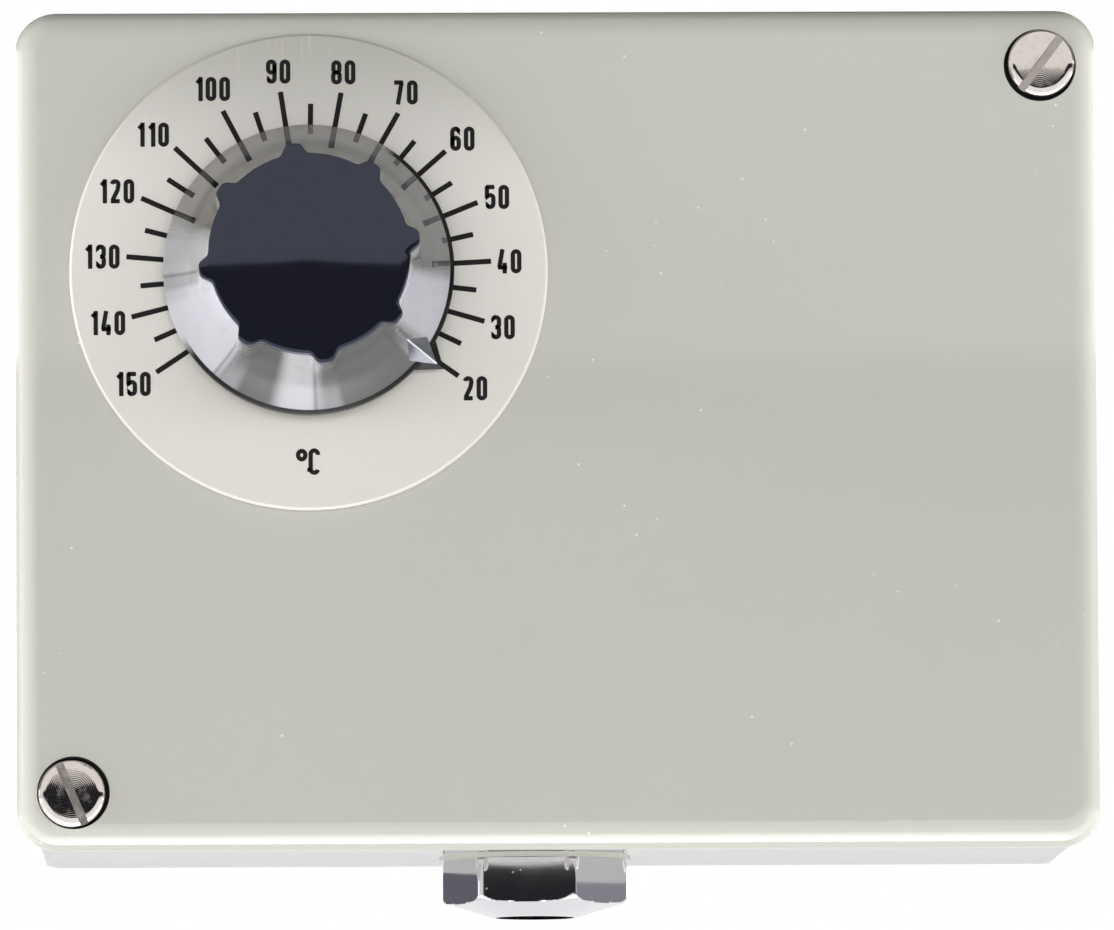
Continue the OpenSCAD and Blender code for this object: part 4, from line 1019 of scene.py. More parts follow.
@dataclass(frozen=True)
class Lettering:
    """Narrow upright numerals, drawn as strokes about their middle."""

    height: float = 2.92
    width: float = 1.29
    stroke: float = 0.53
    gap: float = 0.345
    narrow: float = 0.93

    def strokes(self, digit: str) -> list[Stroke]:
        """The strokes of one digit.

        Args:
            digit: the character 0 to 9.

        Returns:
            Its strokes; x runs from the digit's middle and y from half a stroke above its foot.
        """
        r = (self.width - self.stroke) / 2
        h = self.height - self.stroke
        half, waist, wing = self.stroke / 2, 0.50 * h, r + 0.16
        bowl, hook = arc(0, r, r, r, 180, 360), arc(0, r, r, r, 0, -165)
        if digit == "0":
            return [Stroke.join(arc(0, h - r, r, r, 0, 180), bowl, closed=True)]
        if digit == "1":
            stem = (self.narrow - self.stroke) / 2 + 0.01
            return [Stroke.bar((stem, -half), (stem, h + half)),
                    Stroke.bar((stem, h - 0.02), (stem - 0.44, h - 0.48))]
        if digit == "2":
            return [Stroke.join(arc(0, h - r, r, r, 172, -8), line((r * 0.72, h * 0.56), (-r * 0.86, 0.1))),
                    Stroke.bar((-wing, 0), (wing, 0))]
        if digit == "3":
            top, wide = arc(0, h - r, r, r, 165, 0), r + 0.06
            return [Stroke.join(top, arc(-0.06, waist + 0.28, wide, 0.28, 0, -90, 7)),
                    Stroke.join(arc(-0.06, waist - 0.30, wide, 0.30, 90, 0, 7), hook)]
        if digit == "4":
            return [Stroke.bar((0.01, h + half), (-r + 0.01, 0.46)),
                    Stroke.bar((-wing, 0.46), (r + 0.2, 0.46)), Stroke.bar((0.27, 1.02), (0.27, -half))]
        if digit == "5":
            return [Stroke.bar((r + 0.14, h), (-r - 0.14, h)), Stroke.bar((-r, h + 0.1), (-r, waist - 0.12)),
                    Stroke.join(arc(0, waist - 0.14, r, 0.36, 165, 0), hook)]
        if digit == "7":
            return [Stroke.bar((-wing, h), (wing, h)), Stroke.bar((r - 0.02, h), (-0.10, -half))]
        if digit == "8":
            rx, ry = r * 0.93, r * 0.96
            upper = (arc(0, h - ry, rx, ry, 0, 180), arc(0, waist + ry, rx, ry, 180, 360))
            return [Stroke.join(*upper, closed=True),
                    Stroke.join(arc(0, waist - r, r, r, 0, 180), bowl, closed=True)]
        six = [Stroke.join(arc(0, waist + 0.10 - r, r, r, 0, 180), bowl, closed=True),
               Stroke.join(line((-r, r), (-r, waist)), arc(0, h - r, r, r, 180, 8))]
        if digit == "6":
            return six
        return [Stroke(np.stack([-s.path[:, 0], h - s.path[:, 1]], -1), s.closed) for s in six]

    def written(self, text: str, x: float, y: float) -> list[Stroke]:
        """The strokes of a number centred at x, y.

        Args:
            text: the number's digits.
            x: its middle, to the right.
            y: its middle, upwards.

        Returns:
            The strokes in place.
        """
        widths = np.array([self.narrow if c == "1" else self.width for c in text])
        starts = np.r_[0.0, np.cumsum(widths + self.gap)[:-1]]
        middles = starts + widths / 2 - (widths.sum() + self.gap * (len(text) - 1)) / 2
        foot = y - (self.height - self.stroke) / 2
        return [s.moved(x + dx, foot) for c, dx in zip(text, middles) for s in self.strokes(c)]

    def unit_mark(self, x: float, y: float) -> list[Stroke]:
        """A small ring and the letter that follows it, centred at x, y.

        Args:
            x: its middle, to the right.
            y: its middle, upwards.

        Returns:
            The strokes in place.
        """
        ring = Stroke(arc(-0.88, 0.78, 0.44, 0.50, 0, 340, 18), True)
        r, h = 0.43, 2.66
        letter = Stroke.join(arc(0.62, h / 2 - r, r, r, -14, 180, 12),
                             arc(0.62, -h / 2 + r, r, r, 180, 350, 12))
        return [s.moved(x, y) for s in (ring, letter, Stroke.bar((0.2, -0.98), (-0.22, -0.98)))]


@dataclass
class Dial:
    """The dial plate's finish and the scale printed on it."""

    plate: str = "dial_plate"
    lettering: Lettering = field(default_factory=Lettering)
    upright: float = 85.47
    turn_per_degree: float = 1.913
    first: int = 20
    last: int = 150
    tick_width: float = 0.63
    tick_corner: float = 0.08
    letter_corner: float = 0.09
    major: tuple[float, float] = (12.9, 21.88)
    minor: tuple[float, float] = (15.4, 20.2)
    ink_low: float = -0.02
    ink_high: float = 0.03
    numbers: dict[int, tuple[float, float]] = field(default_factory=lambda: {
        20: (19.85, -14.11), 30: (23.19, -6.78), 40: (24.02, 1.14), 50: (22.59, 8.89), 60: (18.48, 15.92),
        70: (11.69, 21.52), 80: (4.24, 23.96), 90: (-3.56, 24.08), 100: (-11.43, 22.00),
        110: (-18.58, 16.52), 120: (-22.93, 9.72), 130: (-24.71, 1.86), 140: (-24.06, -6.12),
        150: (-21.03, -13.45)})
    unit_place: tuple[float, float] = (-0.04, -22.84)

    def angle(self, degrees_c: float) -> float:
        """Direction of a scale value, in degrees anticlockwise from the right."""
        return 90.0 + (degrees_c - self.upright) * self.turn_per_degree

    def ticks(self) -> list[Stroke]:
        """Long strokes at the tens and short ones halfway between them.

        Returns:
            The strokes, from the lowest value to the highest.
        """
        made = []
        for value in range(self.first, self.last + 1, 5):
            near, far = self.major if value % 10 == 0 else self.minor
            angle = math.radians(self.angle(value))
            way = np.array([math.cos(angle), math.sin(angle)])
            made.append(Stroke(np.stack([way * near, way * far])))
        return made

    def build(self) -> None:
        """Dresses the plate and prints the scale, the numbers and the unit mark on it."""
        low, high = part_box(self.plate)
        x, y, z = (low.x + high.x) / 2 / MM, low.y / MM, (low.z + high.z) / 2 / MM
        finish = OpalPlate("dial_opal", srgb(222, 219, 213), 0.34, centre=(x, y, z),
                           radius=(high.x - low.x) / 2 / MM)
        dress(self.plate, finish)
        seat = front_seat(x, y, z)
        font = self.lettering
        letters = [s for value, place in self.numbers.items() for s in font.written(str(value), *place)]
        for name, strokes, width, corner in (
                ("dial_ticks", self.ticks(), self.tick_width, self.tick_corner),
                ("dial_numbers", letters, font.stroke, self.letter_corner),
                ("dial_unit_mark", font.unit_mark(*self.unit_place), font.stroke, self.letter_corner)):
            bars = [s.shell(width, self.ink_low, self.ink_high, corner) for s in strokes]
            make_piece(name, bars, seat, INK, "case")


def dress(node: str, finish: Finish) -> None:
    """Gives a CAD node's object a finish in all its material slots.

    Args:
        node: the CAD node's name.
        finish: its finish.
    """
    target = frame["nodes"][node]
    target.data.materials.clear()
    target.data.materials.append(finish.material())
    LOG.info("%s: dressed as %s", node, finish.name)


# ------------------------------------------------------------------ cover screws


@dataclass
class CoverScrews:
    """Two slotted screws with low crowned heads."""

    node: str = "cover_screws"
    seat_radius: float = 4.15
    head_radius: float = 4.02
    head_height: float = 3.3
    crown_radius: float = 100.0
    flat_radius: float = 3.05
    rim_drop: float = 0.75
    slot_half: float = 0.5
    slot_depth: float = 1.15
    thread_radius: float = 2.5
    thread_pitch: float = 0.8
    thread_depth: float = 0.42
    slot_angles: tuple[float, float] = (53.0, -67.0)
    head_shifts: tuple[tuple[float, float], ...] = ((0.16, 0.26), (-0.20, -0.10))
    side_sections: int = 26
    section_points: int = 61

    def head_top(self, radius: np.ndarray) -> np.ndarray:
        """Height of the crown at a radius: -r^2 / 2R, then a quarter ellipse down to the rim.

        Args:
            radius: distances from the head's middle.

        Returns:
            The heights, 0 in the middle.
        """
        crown = -radius ** 2 / (2 * self.crown_radius)
        share = np.clip((radius - self.flat_radius) / (self.head_radius - self.flat_radius), 0.0, 1.0)
        return crown - self.rim_drop * (1.0 - np.sqrt(np.maximum(0.0, 1.0 - share ** 2)))

    def head(self, turn: float) -> Shell:
        """The head as sections across the slot.

        Each section at distance u from the slot's middle is a loop in v and z: its top follows the
        crown, or the slot's floor where |u| is less than the slot's half width, and its foot is flat.

        Args:
            turn: the slot's direction, in degrees anticlockwise from the right.

        Returns:
            The closed head.
        """
        n = self.side_sections
        outer = self.slot_half + (self.head_radius - self.slot_half) * np.sin(np.linspace(0, math.pi / 2, n))
        u = np.r_[-outer[::-1], -self.slot_half, 0.0, self.slot_half, outer][:, None]
        sunk = np.r_[np.zeros(n), np.ones(3), np.zeros(n)][:, None] > 0
        reach = np.sqrt(np.maximum(0.0, self.head_radius ** 2 - u ** 2))
        along = reach * np.sin(np.linspace(-1.0, 1.0, self.section_points) * math.pi / 2)
        top = np.where(sunk, -self.slot_depth, self.head_top(np.hypot(u, along)))
        v = np.hstack([along, along[:, ::-1]])
        z = np.hstack([top, np.full_like(top, -self.head_height)])
        angle = math.radians(turn)
        x = v * math.cos(angle) - u * math.sin(angle)
        y = v * math.sin(angle) + u * math.cos(angle)
        return Shell.from_rings(np.stack([x, y, z], -1)[:, ::-1])

    def shank(self, length: float) -> Shell:
        """The threaded shank: r = R - d (1 - tri(z / p - a / 2 pi)), fading out at both ends."""
        return threaded_rod(self.thread_radius, self.thread_pitch, self.thread_depth, -length,
                            -self.head_height + 0.05)

    def build(self) -> None:
        """Makes both screws in place of the CAD node."""
        low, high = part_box(self.node)
        front = low.y / MM
        length = (high.y - low.y) / MM
        places = ((high.x / MM - self.seat_radius, high.z / MM - self.seat_radius),
                  (low.x / MM + self.seat_radius, low.z / MM + self.seat_radius))
        for side, (x, z), turn, shift in zip(("upper", "lower"), places, self.slot_angles, self.head_shifts):
            seat = front_seat(x, front, z)
            head = self.head(turn)
            head.points[:, :2] += shift
            made = make_piece(f"cover_screw_{side}", [head, self.shank(length)], seat, TURNED_PLATE, "case",
                              30.0)
            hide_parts(self.node)


def threaded_rod(radius: float, pitch: float, depth: float, low: float, high: float,
                 around: int = 40) -> Shell:
    """A rod with a helical thread, closed at both ends.

    Its radius at height z and angle a is R - d |2 frac(z / p - a / 2 pi) - 1|, faded to the core
    over one pitch at each end.

    Args:
        radius: the thread's outer radius.
        pitch: its pitch.
        depth: its depth.
        low: the rod's lower end.
        high: its upper end.
        around: points round it.

    Returns:
        The closed shell.
    """
    rows = max(8, int((high - low) / pitch * 8))
    z = np.linspace(low, high, rows)[:, None]
    angle = (np.arange(around) / around * TAU)[None, :]
    phase = (z / pitch - angle / TAU) % 1.0
    fade = np.clip(np.minimum(z - low, high - z) / pitch, 0.0, 1.0)
    r = radius - depth * (1.0 - fade * (1.0 - np.abs(2 * phase - 1.0)))
    tip = np.full((1, around), 1e-6)
    return Shell.turned(np.vstack([tip, r, tip]), np.vstack([[[low]], z, [[high]]]), angle)


# ------------------------------------------------------------------ setting knob


def plane_reach(corners: Sequence[Sequence[float]], angle: np.ndarray, height: np.ndarray) -> np.ndarray:
    """How far a ray from the axis goes before it leaves the half-space under a plane.

    The plane n . p = d goes through three points; with p = (r cos a, r sin a, h) the ray leaves it at
    r = (d - nz h) / (nx cos a + ny sin a), and never does where that divisor isn't positive.

    Args:
        corners: three points (along, across, height), anticlockwise seen from outside.
        angle: direction of each ray from the pointer, in radians.
        height: height of each ray.

    Returns:
        The distances, NO_LIMIT where there is none.
    """
    a, b, c = (np.asarray(corner, float) for corner in corners)
    normal = np.cross(b - a, c - a)
    spread = normal[0] * np.cos(angle) + normal[1] * np.sin(angle)
    room = normal @ a - normal[2] * height
    return np.where(spread > 1e-6, room / np.maximum(spread, 1e-6), NO_LIMIT)


@dataclass
class SettingKnob:
    """Clear flared knob with eight grips and a raised pointer, and its dark cap."""

    body_node: str = "knob_body"
    cap_node: str = "knob_cap"
    height: float = 22.0
    cap_thickness: float = 1.6
    rim_low: float = 0.8
    rim_high: float = 2.6
    skirt_radius: float = 17.4
    grip_radius: float = 12.0
    grip_over: float = 13.25
    grip_width: float = 1.29
    grip_power: float = 4.0
    grip_count: int = 8
    flare_power: float = 5.0
    pointer_angle: float = -36.5
    facet_tip: tuple[float, float, float] = (18.95, 0.0, 1.9)
    facet_apex: tuple[float, float, float] = (16.15, 0.0, 4.0)
    facet_corner: tuple[float, float, float] = (16.5, 1.95, 1.9)
    facet_root: tuple[float, float, float] = (13.6, 0.0, 5.4)
    pointer_half: float = 11.0
    grip_blend: float = 3.0
    foot_chamfer: float = 0.25
    fine_rows: tuple[float, float, float] = (1.0, 5.6, 0.12)
    upper_rows: int = 44
    top_edge: tuple[tuple[float, float], ...] = ((0.0, 0.25), (0.08, 0.08), (0.3, 0.0))
    insert_radius: float = 4.4
    pocket_radius: float = 3.2
    pocket_floor: float = 15.0
    crown_rise: float = 0.00281
    crown_power: float = 1.78
    cap_edge: float = 0.3
    cap_inset: float = 0.04
    cap_border: float = 0.955

    @property
    def grip_top(self) -> float:
        """Height of the clear body, where the cap sits."""
        return self.height - self.cap_thickness

    def flare(self, height: np.ndarray) -> np.ndarray:
        """Radius of the flank: g + (s - g) ((t - h) / (t - l)) ^ p above the rim, and s at the rim."""
        share = np.clip((self.grip_top - height) / (self.grip_top - self.rim_high), 0.0, 1.0)
        return self.grip_radius + (self.skirt_radius - self.grip_radius) * share ** self.flare_power

    def grips(self, angle: np.ndarray) -> np.ndarray:
        """How much of a grip stands at an angle: exp(-(s / w)^p), s the arc from the nearest grip.

        Args:
            angle: directions in radians.

        Returns:
            The shares, 0 to 1.
        """
        pitch = TAU / self.grip_count
        start = math.radians(self.pointer_angle)
        offset = (angle - start + pitch / 2) % pitch - pitch / 2
        return np.exp(-(np.abs(offset) * self.grip_radius / self.grip_width) ** self.grip_power)

    def pointer(self, angle: np.ndarray, height: np.ndarray) -> np.ndarray:
        """Radius of the pointer: the least reach through its facets, 0 away from it.

        Args:
            angle: directions in radians.
            height: heights above the dial plate.

        Returns:
            The radii.
        """
        along = np.abs((angle - math.radians(self.pointer_angle) + math.pi) % TAU - math.pi)
        tip, apex, corner, root = self.facet_tip, self.facet_apex, self.facet_corner, self.facet_root
        foot = (*corner[:2], 0.0)
        facets = ((apex, tip, corner), (tip, corner, foot), (root, apex, corner))
        reach = np.min([plane_reach(facet, along, height) for facet in facets], 0)
        near = (along < math.radians(self.pointer_half)) & (height > self.rim_low + 0.3) & (height < root[2])
        return np.where(near, reach, 0.0)

    def angles(self) -> np.ndarray:
        """Directions of the columns: even ones all round and close ones at the pointer.

        Returns:
            The directions in radians, rising.
        """
        even = np.arange(0.0, 360.0, 1.25)
        close = self.pointer_angle % 360.0 + np.arange(-self.pointer_half, self.pointer_half + 0.01, 0.25)
        apart = np.min(np.abs(even[:, None] - close[None, :]), 1) > 0.3
        return np.radians(np.sort(np.r_[even[apart], close]))

    def body(self) -> Shell:
        """The clear body: one closed loop of radius and height, carried round the axis.

        Returns:
            The closed shell.
        """
        angle = self.angles()[None, :]
        upper = np.linspace(self.fine_rows[1] + 0.15, self.grip_top - 0.3, self.upper_rows)
        climb = np.r_[self.rim_low, self.rim_low + 0.05, np.arange(*self.fine_rows), upper][:, None]
        flare = self.flare(climb)
        stand = np.log1p(np.exp((self.grip_over - flare) * self.grip_blend)) / self.grip_blend
        radius = np.maximum(flare + stand * self.grips(angle), self.pointer(angle, climb))
        radius[0] -= self.foot_chamfer
        top = self.flare(self.grip_top) + (self.grip_over - self.grip_radius) * self.grips(angle)
        inset, drop = np.array(self.top_edge).T[..., None]
        inner = np.array([(self.pocket_radius, self.grip_top), (self.pocket_radius, self.pocket_floor),
                          (self.insert_radius, self.pocket_floor), (self.insert_radius, self.rim_low)])
        r = np.vstack([radius, top - inset, inner[:, :1] + 0.0 * angle])
        h = np.vstack([climb, self.grip_top - drop, inner[:, 1:]])
        return Shell.turned(r, h, angle, wrap=True)

    def crown(self, radius: np.ndarray) -> np.ndarray:
        """Height of the cap at a radius: H - c r^p."""
        return self.height - self.crown_rise * radius ** self.crown_power

    def cap(self) -> Shell:
        """The cap: its outline follows the grips, its edge is a quarter round, and its crown is low.

        Returns:
            The closed shell.
        """
        angle = self.angles()[None, :]
        outline = self.grip_radius - self.cap_inset + (self.grip_over - self.grip_radius) * self.grips(angle)
        bend = np.radians(np.linspace(0.0, 90.0, 6))[:, None]
        inward = np.r_[self.cap_border, np.linspace(0.0, 0.9, 16)[::-1]][:, None] * outline
        foot = np.full_like(outline, self.grip_top)
        edge = self.cap_edge * (1.0 - np.cos(bend))
        drop = self.cap_edge * (1.0 - np.sin(bend))
        r = np.vstack([outline * 0.0, outline, outline - edge, inward])
        h = np.vstack([foot, foot, self.crown(outline) - drop, self.crown(inward)])
        return Shell.turned(r, h, angle)

    def build(self) -> None:
        """Makes the clear body and its cap in place of their CAD nodes."""
        low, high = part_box("dial_plate")
        top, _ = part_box(self.cap_node)
        seat = front_seat((low.x + high.x) / 2 / MM, top.y / MM + self.height, (low.z + high.z) / 2 / MM)
        body = make_piece("knob_clear_body", [self.body()], seat, FLARED, "setting", 24.0)
        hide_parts(self.body_node)
        cap = make_piece("knob_dark_cap", [self.cap()], seat, CAP_BLACK, "setting", 50.0)
        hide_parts(self.cap_node)


# ------------------------------------------------------------------ cable entry


@dataclass
class CableGland:
    """Plated hexagonal gland nut with rounded corners and a low coned foot."""

    node: str = "gland_nut"
    flat_radius: float = 9.9
    corner_round: float = 1.3
    foot_round: float = 0.8
    foot_slope: float = 17.0
    face_height: float = 6.9
    turn: float = 6.8
    bore: float = 4.75
    rim: float = 0.3
    lean: float = 1.6
    lean_height: float = 2.0
    shoulder: float = 0.3
    chamfer: float = 0.25
    column_step: float = 0.75
    thread_radius: float = 7.6
    thread_pitch: float = 1.5
    thread_depth: float = 0.8

    def outline(self, angle: np.ndarray) -> np.ndarray:
        """Radius of the rounded hexagon.

        It is f / cos b on a face, b the angle from the face's middle. On a corner it is the arc of
        radius q about c = (f - q) / cos 30: c cos g + sqrt(q^2 - c^2 sin^2 g), g the angle from there.

        Args:
            angle: directions in radians.

        Returns:
            The radii.
        """
        sixth = TAU / 6
        corner = (angle - math.radians(self.turn)) % sixth
        corner = np.minimum(corner, sixth - corner)
        face = sixth / 2 - corner
        centre = (self.flat_radius - self.corner_round) / math.cos(sixth / 2)
        switch = centre * math.sin(sixth / 2) / self.flat_radius
        flat = self.flat_radius / np.cos(face)
        arc_part = np.sqrt(np.maximum(0.0, self.corner_round ** 2 - (centre * np.sin(corner)) ** 2))
        rounded = centre * np.cos(corner) + arc_part
        return np.where(np.tan(face) < switch, flat, rounded)

    def shell(self, foot: float, shank_top: float) -> Shell:
        """The nut and its threaded shank as one closed loop; z goes down from the case's underside.

        Args:
            foot: distance of the nut's lowest ring below the case.
            shank_top: how far its shank goes up inside.

        Returns:
            The closed shell.
        """
        angle = np.radians(np.arange(0.0, 360.0, self.column_step))[None, :]
        reach = float(self.outline(np.array(math.radians(self.turn))))
        rim = self.bore + self.rim
        slope = math.tan(math.radians(self.foot_slope))
        rise = (reach - self.foot_round - rim) * slope
        bend = np.radians(np.linspace(90.0 - self.foot_slope, 0.0, 7))
        arc_r = reach - self.foot_round + self.foot_round * np.cos(bend)
        arc_h = foot - rise - self.foot_round + self.foot_round * np.sin(bend)
        cone_r = np.linspace(rim, reach - self.foot_round, 14)
        cone_h = foot - (cone_r - rim) * slope
        profile_r = np.r_[reach - self.chamfer, reach, reach, reach, arc_r[::-1], cone_r[::-1]]
        profile_h = np.r_[self.shoulder, self.shoulder + self.chamfer, self.lean_height, arc_h[-1] - 0.4,
                          arc_h[::-1], cone_h[::-1]]
        lean = np.maximum(self.lean_height - profile_h, 0.0) * math.tan(math.radians(self.lean))
        outer = np.minimum(self.outline(angle), profile_r[:, None]) - lean[:, None]
        turns = np.arange(-shank_top, 0.0, self.thread_pitch / 8)[:, None]
        phase = (turns / self.thread_pitch - angle / TAU) % 1.0
        thread = self.thread_radius - self.thread_depth * np.abs(2 * phase - 1.0)
        flat = 0.0 * angle
        r = np.vstack([self.bore + flat, self.bore + flat, thread, self.thread_radius + flat, outer])
        h = np.vstack([[[foot], [-shank_top]], turns, [[self.shoulder]], profile_h[:, None]])
        return Shell.turned(r, h, angle, wrap=True)

    def build(self) -> None:
        """Makes the nut in place of its CAD node."""
        low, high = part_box(self.node)
        x, y = (low.x + high.x) / 2 / MM, (low.y + high.y) / 2 / MM
        bottom = low.z / MM + self.face_height + self.shoulder
        seat = under_seat(x, y, bottom)
        shell = self.shell(bottom - low.z / MM, high.z / MM - bottom)
        made = make_piece("gland_plated_nut", [shell], seat, BRIGHT_PLATE, "case", 28.0)
        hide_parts(self.node)


# ------------------------------------------------------------------ immersion pocket


@dataclass
class Pocket:
    """Brass immersion pocket: threaded neck, hexagon, pipe thread and drawn tube, closed at its tip."""

    node: str = "immersion_pocket"
    bore: float = 4.0
    neck_radius: float = 9.0
    neck_pitch: float = 1.5
    neck_depth: float = 0.75
    hexagon: tuple[float, float] = (-11.5, -1.5)
    flat_radius: float = 13.5
    corner_reach: float = 15.79
    corner_fall: float = 1.6
    relief_radius: float = 9.25
    thread_radius: float = 10.4775
    thread_pitch: float = 1.814
    thread_depth: float = 1.1
    thread_end: float = 12.8
    shoulder: float = 14.0
    taper: float = 3.0
    tube_radius: float = 5.0
    tip_round: float = 2.0
    end_wall: float = 2.0
    lip: float = 0.4
    tube_flare: float = 1.5
    columns: int = 144

    def hexagon_reach(self, angle: np.ndarray) -> np.ndarray:
        """Radius of a hexagon with a corner at angle 0: f / cos b, b the angle from a face's middle."""
        sixth = TAU / 6
        return self.flat_radius / np.cos(angle % sixth - sixth / 2)

    def screw(self, angle: np.ndarray, low: float, high: float, radius: float, pitch: float,
              depth: float) -> tuple[np.ndarray, np.ndarray]:
        """Radii and heights of a rounded thread: R - d (1 - f (1 + cos 2 pi (z / p - a / 2 pi)) / 2).

        Args:
            angle: directions of the columns.
            low: where the thread starts.
            high: where it ends.
            radius: its outer radius.
            pitch: its pitch.
            depth: its depth.

        Returns:
            Rows of radii and the heights of those rows; f fades the thread to its core at both ends.
        """
        z = np.arange(low, high, pitch / 9)[:, None]
        fade = np.clip(np.minimum(z - low, high - z) / (0.8 * pitch), 0.0, 1.0)
        wave = 0.5 + 0.5 * np.cos(TAU * (z / pitch - angle / TAU))
        return radius - depth * (1.0 - fade * wave), z[:, 0]

    def shell(self, start: float, end: float) -> Shell:
        """The whole pocket as one closed surface from its tip round to the bottom of its bore.

        Args:
            start: height of the neck's end inside the case.
            end: height of the tip.

        Returns:
            The closed shell.
        """
        angle = (np.arange(self.columns) / self.columns * TAU)[None, :]
        bend = np.radians(np.linspace(0.0, 90.0, 8))[:, None]
        tip_r = self.tube_radius - self.tip_round * (1.0 - np.cos(bend))
        tip_z = end - self.tip_round * (1.0 - np.sin(bend))
        foot, top = self.hexagon
        hex_z = np.array([top, top - self.corner_fall, foot + self.corner_fall, foot])
        turned = np.array([self.flat_radius, self.corner_reach, self.corner_reach, self.flat_radius])
        steps = np.linspace(0.0, 3.0, 19)
        fine_z, fine_r = np.interp(steps, range(4), hex_z), np.interp(steps, range(4), turned)
        hexagon = np.minimum(self.hexagon_reach(angle), fine_r[:, None])
        pipe_r, pipe_z = self.screw(angle, 0.0, self.thread_end, self.thread_radius, self.thread_pitch,
                                    self.thread_depth)
        neck_r, neck_z = self.screw(angle, start + self.lip, foot - 0.5, self.neck_radius, self.neck_pitch,
                                    self.neck_depth)
        tube_z = np.linspace(end - self.tip_round, self.shoulder + self.taper, 24)[1:, None]
        core, floor = self.neck_radius - self.neck_depth, end - self.end_wall
        blocks = [(0.0, end), (tip_r[::-1], tip_z[::-1]), (self.tube_radius + 0.0 * tube_z, tube_z),
                  (self.tube_radius + self.tube_flare, self.shoulder),
                  (self.relief_radius, self.shoulder - 0.2), (pipe_r[::-1], pipe_z[::-1, None]),
                  (self.relief_radius, -0.3), (self.relief_radius, top),
                  (hexagon, fine_z[:, None]), (core, foot), (neck_r[::-1], neck_z[::-1, None]),
                  (core - 0.1, start + self.lip / 2), (self.bore + self.lip, start),
                  (self.bore, start + self.lip), (self.bore, floor), (0.0, floor)]
        radii = [radius + 0.0 * angle for radius, _ in blocks]
        heights = [height + 0.0 * radius for radius, (_, height) in zip(radii, blocks)]
        return Shell.turned(np.vstack(radii), np.vstack(heights), angle)

    def build(self) -> None:
        """Makes the pocket in place of its CAD node."""
        low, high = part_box(self.node)
        seat = stem_seat((low.x + high.x) / 2 / MM, 0.0, (low.z + high.z) / 2 / MM)
        shell = self.shell(low.y / MM, high.y / MM)
        made = make_piece("pocket_threaded", [shell], seat, DRAWN_BRASS, "case", 28.0)
        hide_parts(self.node)


# ------------------------------------------------------------------ range spring


@dataclass
class RangeSpring:
    """The range spring's coils, cut across into two lengths.

    The front length rides the nut; the rear length stays with the case.
    """

    cut_share: float = 0.72
    nut_travel: float = 2.1
    lever_lift: float = 0.62
    sharp: float = 40.0

    def length(self, name: str, start: float, end: float) -> bpy.types.Object:
        """The part of the node's own mesh between two heights along the spring, closed where it is cut.

        Args:
            name: the piece's name.
            start: its front end along +Y, in metres.
            end: its rear end.

        Returns:
            The new object, at the origin.
        """
        coil = bmesh.new()
        coil.from_mesh(bpy.data.objects["range_spring"].data)
        bmesh.ops.remove_doubles(coil, verts=coil.verts, dist=WELD_M)
        for height, way in ((start, -1.0), (end, 1.0)):
            everything = [*coil.verts, *coil.edges, *coil.faces]
            cut = bmesh.ops.bisect_plane(coil, geom=everything, dist=WELD_M / 10, plane_co=(0.0, height, 0.0),
                                         plane_no=(0.0, way, 0.0), clear_outer=True)["geom_cut"]
            rim = [e for e in cut if isinstance(e, bmesh.types.BMEdge)]
            if rim:
                bmesh.ops.holes_fill(coil, edges=rim, sides=0)
        return linked(name, bpy.data.meshes.new(name), coil, SPRING_STEEL, self.sharp)

    def build(self) -> None:
        """Makes both lengths: the front one rides the range nut and the rear one stays with the case."""
        low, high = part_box("range_spring")
        middle = low.y + (high.y - low.y) * self.cut_share
        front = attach(self.length("spring_front_coils", low.y - MM, middle), "range_nut")
        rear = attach(self.length("spring_rear_coils", middle, high.y + MM), "case")
        for piece, joint, start, end, travel in (
                (front, "range_nut_slide", low.y, middle, self.nut_travel),
                (rear, "lever_tilt", middle, high.y, self.lever_lift)):
            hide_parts("range_spring")
            1.0 - travel * MM / (end - start)
            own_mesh(piece)


# ------------------------------------------------------------------ studio


class LampUse(Enum):
    """What a lamp acts on: matt surfaces, reflections, or both."""

    LIGHT = "light"
    GLOSS = "gloss"
    BOTH = "both"


@dataclass(frozen=True)
class Lamp:
    """A rectangular lamp of a set radiance, where 1 is white; its lengths are in metres.

    The surroundings stand in for it where it isn't mirrored. Its spread is the full angle, in
    degrees, that its light stays in; the centre keeps the set radiance.
    """

    name: str
    place: tuple[float, float, float]
    target: tuple[float, float, float]
    width: float
    height: float
    radiance: float
    use: LampUse = LampUse.LIGHT
    spread: float = 180.0

    def add(self) -> None:
        """Adds the lamp; its power is pi times radiance times area, over the gain of a narrow spread."""
        data = bpy.data.lights.new(self.name, "AREA")
        data.shape = "RECTANGLE"
        data.size, data.size_y = self.width, self.height
        data.spread = math.radians(self.spread)
        half = data.spread / 2
        gain = 1.0 if self.spread >= 180.0 else math.tan(half) / (math.tan(half) - half)
        data.energy = math.pi * self.radiance * self.width * self.height / gain
        made = bpy.data.objects.new(self.name, data)
        place = Vector(self.place)
        facing = (Vector(self.target) - place).to_track_quat("-Z", "Y").to_matrix().to_4x4()
        made.matrix_world = Matrix.Translation(place) @ facing
        made.visible_camera = False
        made.visible_diffuse = self.use is not LampUse.GLOSS
        made.visible_glossy = self.use is not LampUse.LIGHT
        made.visible_transmission = False
        bpy.context.scene.collection.objects.link(made)


